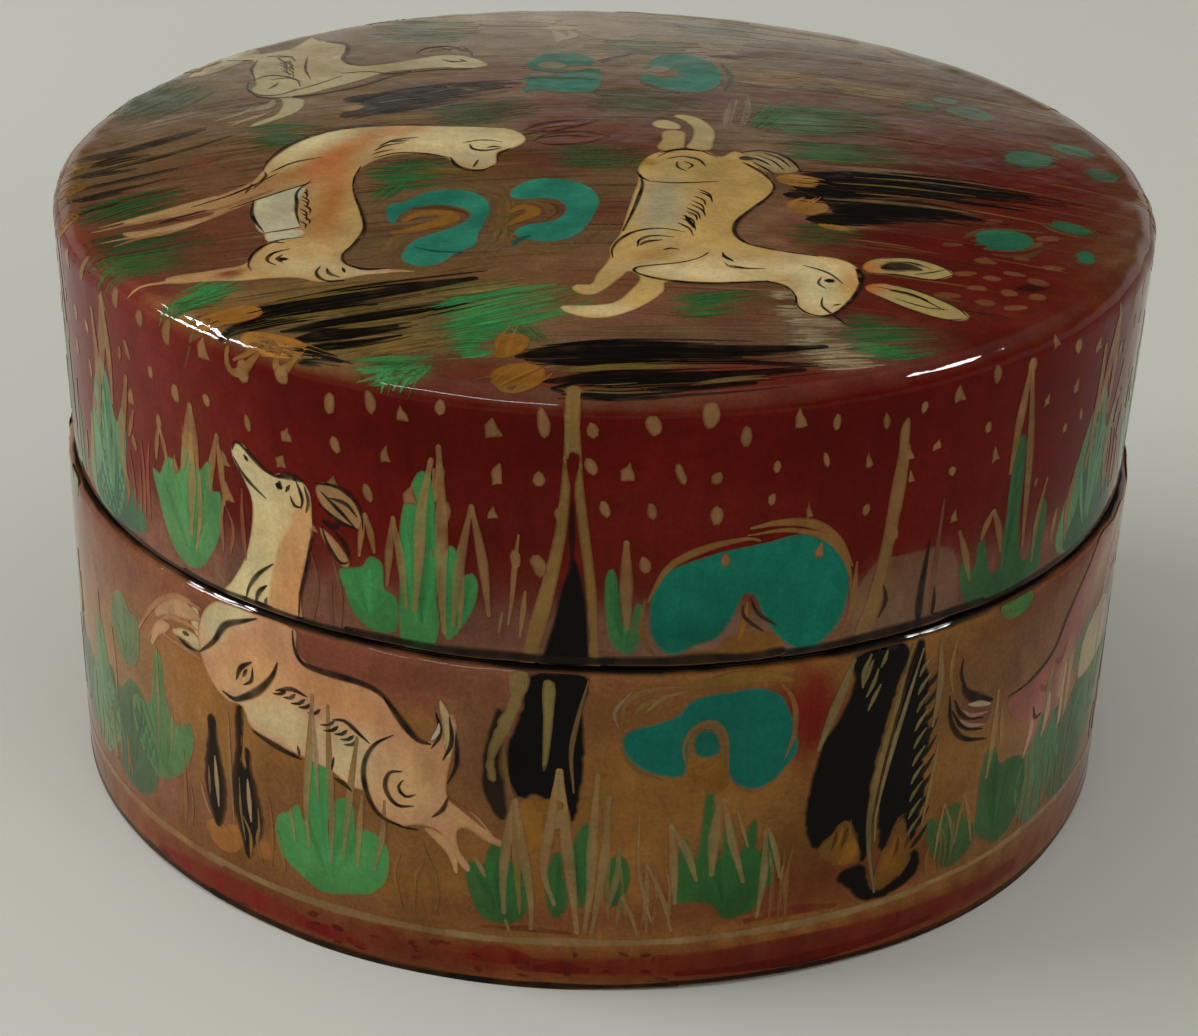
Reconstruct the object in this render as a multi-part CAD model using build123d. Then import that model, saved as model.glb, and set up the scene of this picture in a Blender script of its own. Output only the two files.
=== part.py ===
"""Round papier mache box with a lift-off lid.

Each half is a ring of wound and pasted paper with a pulp board closing one end, and both are covered outside
by one skin of paper strips and chalk ground that hides the joint between ring and board. A thin collar is
glued inside the base and stands above its rim. The lid slips down over the collar.

Millimetres, +Z up, -Y is the front. The origin is the centre of the foot, on the surface the box stands on.
"""

import os

from build123d import *

# ---- driving dimensions ----
bore_radius = 45.2          # inside of the base ring, where the collar is glued
skin = 1.0                  # paper strips, chalk ground, paint and lacquer over each half
base_height = 31.6          # foot to the base's rim
base_wall_at_foot = 2.7     # the ring under the skin, which thickens upwards
base_wall_at_rim = 3.6
lid_height = 24.2           # the lid's rim to its top edge
lid_wall_at_rim = 2.6       # the ring under the skin, which thickens upwards
lid_wall_at_top = 3.6
lid_board = 3.2             # pulp board that closes the lid
lid_crown = 1.0             # the skin is built up to this much above the lid's edge at the centre
floor_board = 3.0           # pulp board that closes the base, flush with the foot
collar_wall = 1.3
collar_rise = 7.0           # the collar above the base's rim
collar_play = 0.35          # radial clearance between the collar and the lid's bore
collar_lead = 0.5           # bevels that start the lid on the collar
parting_gap = 0.3           # the closed lid's rim above the base's rim
top_edge_radius = 2.0       # rounding round the lid's top
board_bevel = 1.2           # the lid's board is rasped off this much at its edge, under the skin
cut_bevel = 0.45            # both rims, where the form was sawn apart
foot_bevel = 0.7

# ---- levels and radii that follow ----
collar_top = base_height + collar_rise
lid_rim = base_height + parting_gap
lid_top = lid_rim + lid_height
lid_bore = bore_radius + collar_play
base_core_foot = bore_radius + base_wall_at_foot
base_core_rim = bore_radius + base_wall_at_rim
lid_core_rim = lid_bore + lid_wall_at_rim
lid_core_top = lid_bore + lid_wall_at_top
lid_board_top = lid_top - skin
lid_board_seat = lid_board_top - lid_board
lid_seat_share = (lid_board_seat - lid_rim) / (lid_board_top - lid_rim)
lid_core_seat = lid_core_rim + (lid_core_top - lid_core_rim) * lid_seat_share


def turned(*outline):
    """A solid turned about Z from an outline of (radius, height) points."""
    face = make_face(Plane.XZ * Polyline(*outline, close=True))
    return revolve(face, Axis.Z)


def tube(bore, low_radius, high_radius, low, high):
    """A ring, or a disc where the bore is 0, whose outside leans from one radius to the other."""
    return turned((bore, low), (low_radius, low), (high_radius, high), (bore, high))


def crowned(low_radius, edge_radius, low, edge, crown, corner):
    """A solid with a leaning side and a shallow dome over it, rounded where they meet."""
    peak = edge + crown
    dome_radius = (edge_radius**2 + crown**2) / (2 * crown)
    half_way = edge_radius / 2
    half_way_height = peak - dome_radius + (dome_radius**2 - half_way**2) ** 0.5
    side = Polyline((0, peak), (0, low), (low_radius, low), (edge_radius, edge))
    dome = ThreePointArc((edge_radius, edge), (half_way, half_way_height), (0, peak))
    face = make_face([side, dome])
    face = fillet(face.vertices().group_by(Axis.X)[-1], corner)
    return revolve(Plane.XZ * face, Axis.Z)


def bevel_edge(solid, level, size, inner=False):
    """Bevels the outer (or inner) edge of a turned solid at one level."""
    at_level = solid.edges().filter_by_position(Axis.Z, level - 0.001, level + 0.001)
    ordered = at_level.sort_by(lambda edge: edge.radius)
    return chamfer(ordered[0] if inner else ordered[-1], size)


# ---- base ----
def make_base_wall():
    """The wound ring. Its foot is what the box stands on."""
    return tube(bore_radius, base_core_foot, base_core_rim, 0, base_height)


def make_base_floor():
    """The board glued inside the ring, flush with its foot."""
    return tube(0, bore_radius, bore_radius, 0, floor_board)


def make_base_collar():
    """The thin collar that stands on the floor board, lines the ring and locates the lid."""
    inside = bore_radius - collar_wall
    collar = tube(inside, bore_radius, bore_radius, floor_board, collar_top)
    return bevel_edge(collar, collar_top, collar_lead)


def make_base_skin():
    """The outer skin of the base, from the foot's edge to the sawn rim."""
    foot_radius = base_core_foot + skin
    rim_radius = base_core_rim + skin
    outline = (
        (base_core_foot, 0),
        (foot_radius, 0),
        (rim_radius, base_height),
        (base_core_rim, base_height),
    )
    coat = bevel_edge(turned(*outline), 0, foot_bevel)
    return bevel_edge(coat, base_height, cut_bevel)


# ---- lid ----
def make_lid_wall():
    """The wound ring of the lid, bevelled inside its rim to start on the collar."""
    ring = tube(lid_bore, lid_core_rim, lid_core_seat, lid_rim, lid_board_seat)
    return bevel_edge(ring, lid_rim, collar_lead, inner=True)


def make_lid_top():
    """The board glued on the ring's end, rasped off round its edge."""
    board = tube(0, lid_core_seat, lid_core_top, lid_board_seat, lid_board_top)
    return bevel_edge(board, lid_board_top, board_bevel)


def make_lid_skin():
    """The outer skin of the lid, crowned over the board and down the ring to the sawn rim."""
    outside = crowned(lid_core_rim + skin, lid_core_top + skin, lid_rim, lid_top, lid_crown, top_edge_radius)
    filling = tube(0, lid_core_rim, lid_core_top, lid_rim, lid_board_top)
    hollowed = outside - bevel_edge(filling, lid_board_top, board_bevel)
    return bevel_edge(hollowed, lid_rim, cut_bevel)


PARTS = {
    "base_wall": make_base_wall,
    "base_floor": make_base_floor,
    "base_collar": make_base_collar,
    "base_skin": make_base_skin,
    "lid_wall": make_lid_wall,
    "lid_top": make_lid_top,
    "lid_skin": make_lid_skin,
}

os.makedirs("parts", exist_ok=True)
for node, make in PARTS.items():
    export_step(make(), f"parts/{node}.step")
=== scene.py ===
"""A round Kashmiri papier mache box with a lift-off lid, painted with running animals among foliage.

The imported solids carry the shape. The two outer skins are replaced here by hand-finished ones, slightly
uneven, and the painting is laid on them stroke by stroke.

Places in the painting are given flat, in millimetres. On the top they are (x, y) as seen from above, with the
front at -y. On the sides they are (a, z): a runs round the box to the viewer's right from the middle of the
front, measured on the nominal radius, and z is the height above the table.
"""

import functools
import itertools
import math
import random

import bpy
import numpy as np
from mathutils import Matrix, Vector
from mathutils.geometry import delaunay_2d_cdt


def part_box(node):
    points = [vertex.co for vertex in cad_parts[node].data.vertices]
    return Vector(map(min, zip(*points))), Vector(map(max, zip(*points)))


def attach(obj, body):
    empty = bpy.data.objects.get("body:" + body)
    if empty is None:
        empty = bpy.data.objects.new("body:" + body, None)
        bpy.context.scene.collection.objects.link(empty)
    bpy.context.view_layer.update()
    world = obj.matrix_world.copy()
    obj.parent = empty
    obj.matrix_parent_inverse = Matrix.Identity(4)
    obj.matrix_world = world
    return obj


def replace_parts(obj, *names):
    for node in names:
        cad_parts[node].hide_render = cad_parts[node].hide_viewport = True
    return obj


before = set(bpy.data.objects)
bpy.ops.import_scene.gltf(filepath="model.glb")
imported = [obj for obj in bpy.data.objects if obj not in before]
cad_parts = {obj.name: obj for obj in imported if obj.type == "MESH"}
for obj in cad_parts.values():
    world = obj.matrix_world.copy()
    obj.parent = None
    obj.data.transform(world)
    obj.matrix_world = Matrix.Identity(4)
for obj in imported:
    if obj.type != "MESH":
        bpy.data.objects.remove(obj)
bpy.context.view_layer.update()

MM = 0.001


# ---- the box, in millimetres ---------------------------------------------------------------------------
NOMINAL = 50.0                                   # the radius on which places round the sides are measured
lid_low, lid_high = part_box("lid_skin")
base_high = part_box("base_skin")[1]
LID_RIM = lid_low[2] / MM
PEAK = lid_high[2] / MM
BASE_RIM = base_high[2] / MM
CROWN = 1.0                                      # the lid's middle above its edge
EDGE = PEAK - CROWN
EDGE_RADIUS = 50.15
LID_RIM_RADIUS = 49.15
BASE_RIM_RADIUS = 49.8
FOOT_RADIUS = 48.9
SKIN = 1.0
CORNER = 2.0                                     # rounding round the lid's top
RIM_ROUND = 0.5                                  # rounding of the lid's sawn rim
BASE_ROUND = 0.8                                 # and of the base's
FOOT_ROUND = 0.8
TUCK = 0.2                                       # how far paint on a rim's rounding follows it in
SIDES = 384                                      # facets round the box
ROW = 0.8                                        # spacing of the rows of vertices


def lean(z, low, low_radius, high, high_radius):
    """The radius at height z of a side that leans from one radius to another."""
    return low_radius + (high_radius - low_radius) * (z - low) / (high - low)


def lid_radius(z):
    return lean(z, LID_RIM, LID_RIM_RADIUS, EDGE, EDGE_RADIUS)


def base_radius(z):
    return lean(z, 0, FOOT_RADIUS, BASE_RIM, BASE_RIM_RADIUS)


def dome(radius):
    """Height of the lid's top at a distance from the middle."""
    return PEAK - CROWN * (radius / EDGE_RADIUS) ** 2


def waves(seed, count, shortest, longest):
    """Directions, wave numbers and phases of a sum of sines, always the same for a seed."""
    draw = random.Random(seed)
    made = []
    for _ in range(count):
        direction = Vector([draw.gauss(0, 1) for _ in range(3)]).normalized()
        length = draw.uniform(shortest, longest)
        made.append((np.array(direction) * 2 * math.pi / length, draw.uniform(0, 2 * math.pi)))
    return made


def ripple(places, made):
    """The sum of sines at an array of places, about -1 to 1."""
    total = sum(np.sin(places @ wave + phase) for wave, phase in made)
    return total / math.sqrt(len(made) * 2)


LID_WAVES = waves(11, 7, 16, 60)
BASE_WAVES = waves(12, 7, 16, 60)
RIM_WAVES = waves(13, 6, 6, 30)
LUMPS = waves(14, 10, 2.5, 9)
UNEVEN = 0.10                                    # how far the hand-built skin strays from the turned form
LUMPY = 0.055                                    # smaller lumps where the layers of paper turn the corner
RIM_UNEVEN = 0.13                                # how far the sawn rims stray up and down
OFF_MIDDLE = np.array([-1.5, 0.1])               # the top's painting is centred a little to the left


CORNER_Z = dome(EDGE_RADIUS - CORNER) - CORNER   # where the rounding round the lid's top leaves the side
CORNER_R = lid_radius(CORNER_Z) - CORNER         # and where it meets the top
BEND = CORNER * math.pi / 2                      # its length


def near_corner(way):
    """How near a place on the lid is to the rounding: 1 on it, falling to 0."""
    return np.exp(-(((way - CORNER_Z - BEND / 2) / 3.0) ** 2))


def lid_stray(places, lumpy):
    """How far the lid's skin stands off the turned form."""
    return UNEVEN * ripple(places, LID_WAVES) + LUMPY * lumpy * ripple(places, LUMPS)


def base_stray(places):
    near_rim = np.exp(-(((places[:, 2] - BASE_RIM) / 2.0) ** 2))
    return UNEVEN * ripple(places, BASE_WAVES) + LUMPY * 2 * near_rim * ripple(places, LUMPS)


def lid_profile(way):
    """Radius, height and outward direction along the lid's outside, by the way up from its rim and inwards.

    The way is a height up to CORNER_Z, then follows the rounding and the top. The lowest RIM_ROUND of it
    turns round the rim.
    """
    low = LID_RIM + RIM_ROUND
    under = np.clip((low - way) / RIM_ROUND, 0, 1)
    turn = np.clip((way - CORNER_Z) / CORNER, 0, math.pi / 2)
    inwards = CORNER_R - np.maximum(way - CORNER_Z - BEND, 0)
    radius = np.where(way < CORNER_Z,
                      lid_radius(np.maximum(way, low)) - TUCK * RIM_ROUND * (1 - np.cos(under)),
                      inwards + CORNER * np.cos(turn))
    height = np.where(way < CORNER_Z, np.maximum(way, low) - RIM_ROUND * np.sin(under),
                      CORNER_Z + CORNER * np.sin(turn) + dome(inwards) - dome(CORNER_R))
    return radius, height, np.cos(turn), np.sin(turn)


def on_lid(out, way, lift):
    """Places on the lid's uneven skin: out is the direction from the axis, way as in lid_profile."""
    radius, height, sideways, upwards = lid_profile(way)
    turned = out * radius[:, None]
    turned[:, 2] = height
    normal = out * sideways[:, None]
    normal[:, 2] = upwards
    return turned + normal * (lift + lid_stray(turned, near_corner(way)))[:, None]


class Top:
    """The lid's top, by (x, y); past the edge it runs over the rounding."""

    def place(self, flat, lift):
        flat = flat + OFF_MIDDLE
        radius = np.maximum(np.hypot(flat[:, 0], flat[:, 1]), 1e-6)
        out = np.column_stack([flat / radius[:, None], np.zeros(len(flat))])
        return on_lid(out, CORNER_Z + BEND + CORNER_R - radius, lift)


def outward(a):
    """The direction from the axis at places round the box."""
    return np.column_stack([np.sin(a / NOMINAL), -np.cos(a / NOMINAL), np.zeros(len(a))])


class LidSide:
    """The lid's side, by (a, z); above the side it runs over the rounding and onto the top."""

    def place(self, flat, lift):
        return on_lid(outward(flat[:, 0]), flat[:, 1], lift)


class BaseSide:
    """The base's side, by (a, z); at the top it turns over the rim."""

    def place(self, flat, lift):
        out = outward(flat[:, 0])
        high = BASE_RIM - BASE_ROUND
        over = np.clip((flat[:, 1] - high) / BASE_ROUND, 0, 1)
        height = np.minimum(flat[:, 1], high)
        turned = out * (base_radius(height) - TUCK * BASE_ROUND * (1 - np.cos(over)))[:, None]
        turned[:, 2] = height + BASE_ROUND * np.sin(over)
        return turned + out * (lift + base_stray(turned))[:, None]


TOP, LID, BASE = Top(), LidSide(), BaseSide()


# ---- colour ---------------------------------------------------------------------------------------------
def colour(code):
    """A linear colour from a hex code as painters of screens write it."""
    values = np.array([int(code[i : i + 2], 16) / 255 for i in (0, 2, 4)])
    return np.where(values < 0.04045, values / 12.92, ((values + 0.055) / 1.055) ** 2.4)


RED = colour("500802")
DEEP_RED = colour("460401")
ROSE = colour("6a2c22")
MAROON = colour("582a1e")
BROWN = colour("5a4630")
EARTH = colour("755026")
TAUPE = colour("796450")
STONE = colour("80735a")
OCHRE = colour("7f5619")
GOLD = colour("6f552c")
STRAW = colour("74623a")
OLIVE = colour("474326")
MOSS = colour("44532e")
GREEN = colour("2d6636")
LEAF = colour("37834a")
TEAL = colour("17695a")
DARK_TEAL = colour("0b443a")
BLACK = colour("0a0705")
SOOT = colour("17110c")
CREAM = colour("bbae88")
PALE = colour("aaa58b")
TAN = colour("ad8f58")
PEACH = colour("b08452")
ORANGE = colour("a8602f")
INK = colour("140c09")
SEPIA = colour("2e1c10")
WINE = colour("2c0c07")


# ---- strokes --------------------------------------------------------------------------------------------
DAB_REACH = 2.5                                  # a soft dab ends this many of its lengths from its middle
LAYER = 0.007                                    # thickness of a coat of paint
SUNK = 0.03                                      # how far the edges of a stroke go into the surface
OUTLINE_STEP = 0.6                               # spacing of the points round a filled shape
ROW_SHARE = 0.87                                 # and of the rows inside it, as a share of that in a row
chance = random.Random(7)


def dabs(base, strokes):
    """A function from places to colours: a base colour with soft dabs brushed over it in order.

    Each dab is (u, v, half length, half width, angle in degrees, colour, strength).
    """
    middles = np.array([stroke[:2] for stroke in strokes]).reshape(-1, 2)
    reach = np.array([DAB_REACH * max(stroke[2:4]) for stroke in strokes])[:, None]

    def paint(flat):
        made = np.broadcast_to(base, (len(flat), 3)).copy()
        near = ((middles + reach > flat.min(axis=0)) & (middles - reach < flat.max(axis=0))).all(axis=1)
        for u, v, length, width, angle, tint, strength in itertools.compress(strokes, near):
            turn = math.radians(angle)
            du, dv = flat[:, 0] - u, flat[:, 1] - v
            along = (du * math.cos(turn) + dv * math.sin(turn)) / length
            across = (dv * math.cos(turn) - du * math.sin(turn)) / width
            edge = 0.35 * np.sin(du * 1.7 + v) * np.sin(dv * 1.3 + u)
            weight = strength * np.exp(-((along**2 + across**2) * (1 + edge)) ** 1.5)
            made += (tint - made) * weight[:, None]
        return made

    return paint


class Piece:
    """All the strokes of one pigment on one half of the box."""

    def __init__(self, name, body):
        self.name, self.body = name, body
        self.verts, self.faces, self.paint, self.count = [], [], [], 0

    def add(self, verts, faces, paint):
        self.verts.append(verts)
        self.faces.extend(tuple(i + self.count for i in face) for face in faces)
        self.paint.append(np.broadcast_to(paint, (len(verts), 3)))
        self.count += len(verts)

    def lay(self, surface, flat, faces, loop, paint, layer):
        """A flat patch with its rim turned down into the surface, so that no edge floats."""
        top = surface.place(flat, LAYER * layer)
        self.add(top, faces, paint)
        paint = np.broadcast_to(paint, (len(flat), 3))
        under = surface.place(flat[loop], -SUNK)
        n = len(loop)
        skirt = [(i, n + i, n + (i + 1) % n, (i + 1) % n) for i in range(n)]
        self.add(np.vstack([top[loop], under]), skirt, np.vstack([paint[loop], paint[loop]]))


CELLS = 5                                        # cells of a canvas in a millimetre
STRIP = 8 * CELLS                                # rows of cells that are worked out at once
OVERLAP = 1.3                                    # marks to a cell along a stroke, so that it misses none
SOFT = 0.24                                      # how far in from its edge a stroke is thinner
THIN = 0.4                                       # and how much of its paint is there
SOFT_FROM = 0.4                                  # narrower strokes have no thinner edge
HAIR = 0.015                                     # half the width of the finest mark
LEAST_BLUNT = 0.12                               # even the sharpest end has this share of the full width
TINY = 1e-9                                      # a length under this is none


class Canvas:
    """The colours on a surface so far, cell by cell, so that thin paint shows what lies under it."""

    def __init__(self, low, high, ground):
        self.low = np.array(low, float)
        self.count = ((np.array(high) - self.low) * CELLS).astype(int)
        us, vs = (self.low[k] + (np.arange(self.count[k]) + 0.5) / CELLS for k in (0, 1))
        self.cells = np.empty((*self.count, 3))
        for start in range(0, len(us), STRIP):
            strip = us[start : start + STRIP]
            places = np.stack(np.meshgrid(strip, vs, indexing="ij"), axis=-1).reshape(-1, 2)
            self.cells[start : start + STRIP] = ground(places).reshape(len(strip), len(vs), 3)

    def find(self, flat):
        return tuple(np.clip(((flat - self.low) * CELLS).astype(int), 0, self.count - 1).T)

    def at(self, flat):
        return self.cells[self.find(flat)]

    def take(self, flat, paint, cover):
        """Paint laid at places; each cell takes it once."""
        where = self.find(flat)
        under = self.cells[where]
        self.cells[where] = under + (paint - under) * cover


pieces = {}
canvases = {}
laid = itertools.count()


def over_canvas(surface, flat, paint, cover):
    """Paint that lets a share of what lies under it show through; cover may differ from place to place."""
    under = canvases[surface].at(flat)
    return under + (paint - under) * np.reshape(np.broadcast_to(cover, len(flat)), (-1, 1))


def piece(surface, pigment):
    """The piece that takes strokes of a pigment on a surface."""
    half = "base" if surface is BASE else "lid"
    name = f"{half}_{pigment}"
    if name not in pieces:
        pieces[name] = Piece(name, half)
    return pieces[name]


def curve(points, step, closed=False):
    """A smooth line through points, with a point about every step. A point given twice makes a corner."""
    points = np.array(points, float)
    n = len(points)
    spans = n if closed else n - 1
    out = []
    for i in range(spans):
        if closed:
            p = [points[(i + k) % n] for k in (-1, 0, 1, 2)]
        else:
            p = [points[min(max(i + k, 0), n - 1)] for k in (-1, 0, 1, 2)]
        length = np.linalg.norm(p[2] - p[1])
        if length < TINY:
            continue
        before = p[2] - p[0] if np.linalg.norm(p[1] - p[0]) > TINY else p[2] - p[1]
        after = p[3] - p[1] if np.linalg.norm(p[3] - p[2]) > TINY else p[2] - p[1]
        m0 = before / max(np.linalg.norm(before), TINY) * length
        m1 = after / max(np.linalg.norm(after), TINY) * length
        parts = max(int(math.ceil(length / step)), 1)
        t = (np.arange(parts) / parts)[:, None]
        out.append(
            (2 * t**3 - 3 * t**2 + 1) * p[1] + (t**3 - 2 * t**2 + t) * m0
            + (-2 * t**3 + 3 * t**2) * p[2] + (t**3 - t**2) * m1
        )
    if not closed:
        out.append(points[-1:])
    return np.vstack(out)


def measured(path):
    """Distances along a path, and the way across it at each of its points."""
    run = np.r_[0, np.cumsum(np.linalg.norm(np.diff(path, axis=0), axis=1))]
    along = np.gradient(path, axis=0)
    along /= np.maximum(np.linalg.norm(along, axis=1), TINY)[:, None]
    return run, np.column_stack([-along[:, 1], along[:, 0]])


def lift_of(layer):
    """A layer, with each stroke in it a hair above the last few, so that none lie in one plane."""
    return layer + (next(laid) % 7) / 8


def stroke(
    surface, pigment, points, width, paint, layer, belly=0.5, blunt=0.0, step=0.7, cover=1.0, dry=0.15
):
    """A brush stroke along a line: thin where the brush lands and lifts, widest at belly, its ends round.

    dry is how much the paint thins here and there on the way.
    """
    path = curve(points, step)
    if len(path) < 3:
        path = np.array([path[0], (path[0] + path[-1]) / 2, path[-1]])
    run, across = measured(path)
    reach = run[-1]
    blunt = max(blunt, LEAST_BLUNT)
    cap = min(blunt * width / 2, reach / 2)

    def ribbon(at):
        """The middle, the way across and half the width at distances along the line."""
        middle, side = (
            np.column_stack([np.interp(at, run, line[:, k]) for k in (0, 1)])
            for line in (path, across)
        )
        t = at / reach
        swell = np.where(t < belly, t / max(belly, 1e-3), (1 - t) / max(1 - belly, 1e-3))
        swell = np.sqrt(np.clip(swell, 0, 1))
        near = np.clip(np.minimum(at, reach - at) / cap, 0, 1)
        half = width / 2 * np.maximum(swell, blunt) * np.sqrt(1 - (1 - near) ** 2)
        return middle, side, np.maximum(half, HAIR)

    ends = cap * np.array([0, 0.1, 0.4, 1])
    at = np.unique(np.round(np.r_[run[(run > cap) & (run < reach - cap)], ends, reach - ends], 3))
    middle, side, half = ribbon(np.clip(at, 0, reach))
    inner = half - np.minimum(SOFT, 0.45 * half)
    rails = (half, inner, -inner, -half) if width >= SOFT_FROM else (half, -half)
    n, last = len(at), len(rails) - 1
    flat = np.vstack([middle + side * rail[:, None] for rail in rails])
    faces = [
        (k * n + i, (k + 1) * n + i, (k + 1) * n + i + 1, k * n + i + 1)
        for k in range(last)
        for i in range(n - 1)
    ]
    loop = list(range(n - 1, -1, -1)) + list(range(last * n, last * n + n))
    if np.ndim(paint) == 2:
        paint = paint[0] + (paint[1] - paint[0]) * np.tile(at / reach, last + 1)[:, None]
    phase = chance.uniform(0, 6)
    laid_on = cover * (1 - dry * (0.5 + 0.5 * np.sin(at * 1.9 + phase) * np.sin(at * 0.7 + 2 * phase)))
    shares = [laid_on * (THIN if last > 1 and k in (0, last) else 1) for k in range(last + 1)]
    values = over_canvas(surface, flat, paint, np.concatenate(shares))
    piece(surface, pigment).lay(surface, flat, faces, loop, values, lift_of(layer))
    middle, side, half = ribbon(np.linspace(0, reach, int(reach * CELLS * OVERLAP) + 2))
    spread = np.linspace(-1, 1, int(width * CELLS * OVERLAP) + 2)
    cells = middle[:, None] + side[:, None] * (half[:, None] * spread)[..., None]
    mean = np.mean(paint, axis=0) if np.ndim(paint) == 2 else paint
    canvases[surface].take(cells.reshape(-1, 2), mean, cover)


def inside(points, outline):
    """Which points lie inside an outline."""
    x, y = points[:, 0], points[:, 1]
    x0, y0 = outline[:, 0], outline[:, 1]
    x1, y1 = np.roll(x0, -1), np.roll(y0, -1)
    crosses = (y0[None] > y[:, None]) != (y1[None] > y[:, None])
    slope = (x1 - x0) / np.where(y1 == y0, TINY, y1 - y0)
    reach = x0[None] + slope[None] * (y[:, None] - y0[None])
    return (crosses & (x[:, None] < reach)).sum(axis=1) % 2 == 1


def fill(surface, pigment, points, paint, layer, cell=1.4, ragged=0.0, cover=1.0):
    """A filled shape. paint is a colour, or a function from places to colours."""
    outline = curve(points, OUTLINE_STEP, closed=True)
    if ragged:
        outline = outline + np.array([[chance.gauss(0, ragged), chance.gauss(0, ragged)] for _ in outline])
    ahead, behind = np.roll(outline, -1, axis=0), np.roll(outline, 1, axis=0)
    area = np.sum(outline[:, 0] * ahead[:, 1] - ahead[:, 0] * outline[:, 1]) / 2
    way = (ahead - behind) / np.maximum(np.linalg.norm(ahead - behind, axis=1), TINY)[:, None]
    soft = min(SOFT, 0.2 * math.sqrt(abs(area)))
    inset = outline + np.column_stack([-way[:, 1], way[:, 0]]) * math.copysign(soft, area)
    low, high = outline.min(axis=0), outline.max(axis=0)

    def tint(places):
        return paint(places) if callable(paint) else paint

    def gap(places):
        return np.linalg.norm(places[:, None] - outline[None], axis=2).min(axis=1)

    def lattice(size):
        xs, ys = np.arange(low[0], high[0], size), np.arange(low[1], high[1], size * ROW_SHARE)
        places = [(x + (size / 2 if j % 2 else 0), y) for j, y in enumerate(ys) for x in xs]
        places = np.array(places).reshape(-1, 2)
        return places[inside(places, outline)]

    inset = inset[inside(inset, outline)]
    inset = inset[gap(inset) > 0.75 * soft]
    grid = lattice(cell)
    if len(grid):
        grid = grid[gap(grid) > soft + 0.35 * cell]
    n = len(outline)
    places = [Vector(p) for p in np.vstack([outline, inset, grid])]
    edges = [(i, (i + 1) % n) for i in range(n)]
    verts, _, tris, origins, _, _ = delaunay_2d_cdt(places, edges, [], 1, 1e-5)
    flat = np.array([tuple(v) for v in verts])
    where = {}
    for new, olds in enumerate(origins):
        for old in olds:
            where[old] = new
    loop = []
    for i in range(n):
        new = where.get(i)
        if new is not None and (not loop or loop[-1] != new):
            loop.append(new)
    if area < 0:
        loop.reverse()
    faces = []
    for tri in tris:
        a, b, c = (flat[i] for i in tri)
        turn = (b[0] - a[0]) * (c[1] - a[1]) - (b[1] - a[1]) * (c[0] - a[0])
        if abs(turn) > TINY:
            faces.append(tuple(tri) if turn > 0 else tuple(reversed(tri)))
    shares = np.full(len(flat), float(cover))
    shares[loop] *= THIN
    values = over_canvas(surface, flat, tint(flat), shares)
    piece(surface, pigment).lay(surface, flat, faces, loop, values, lift_of(layer))
    cells = lattice(0.9 / CELLS)
    if len(cells):
        canvases[surface].take(cells, tint(cells), cover)


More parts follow.
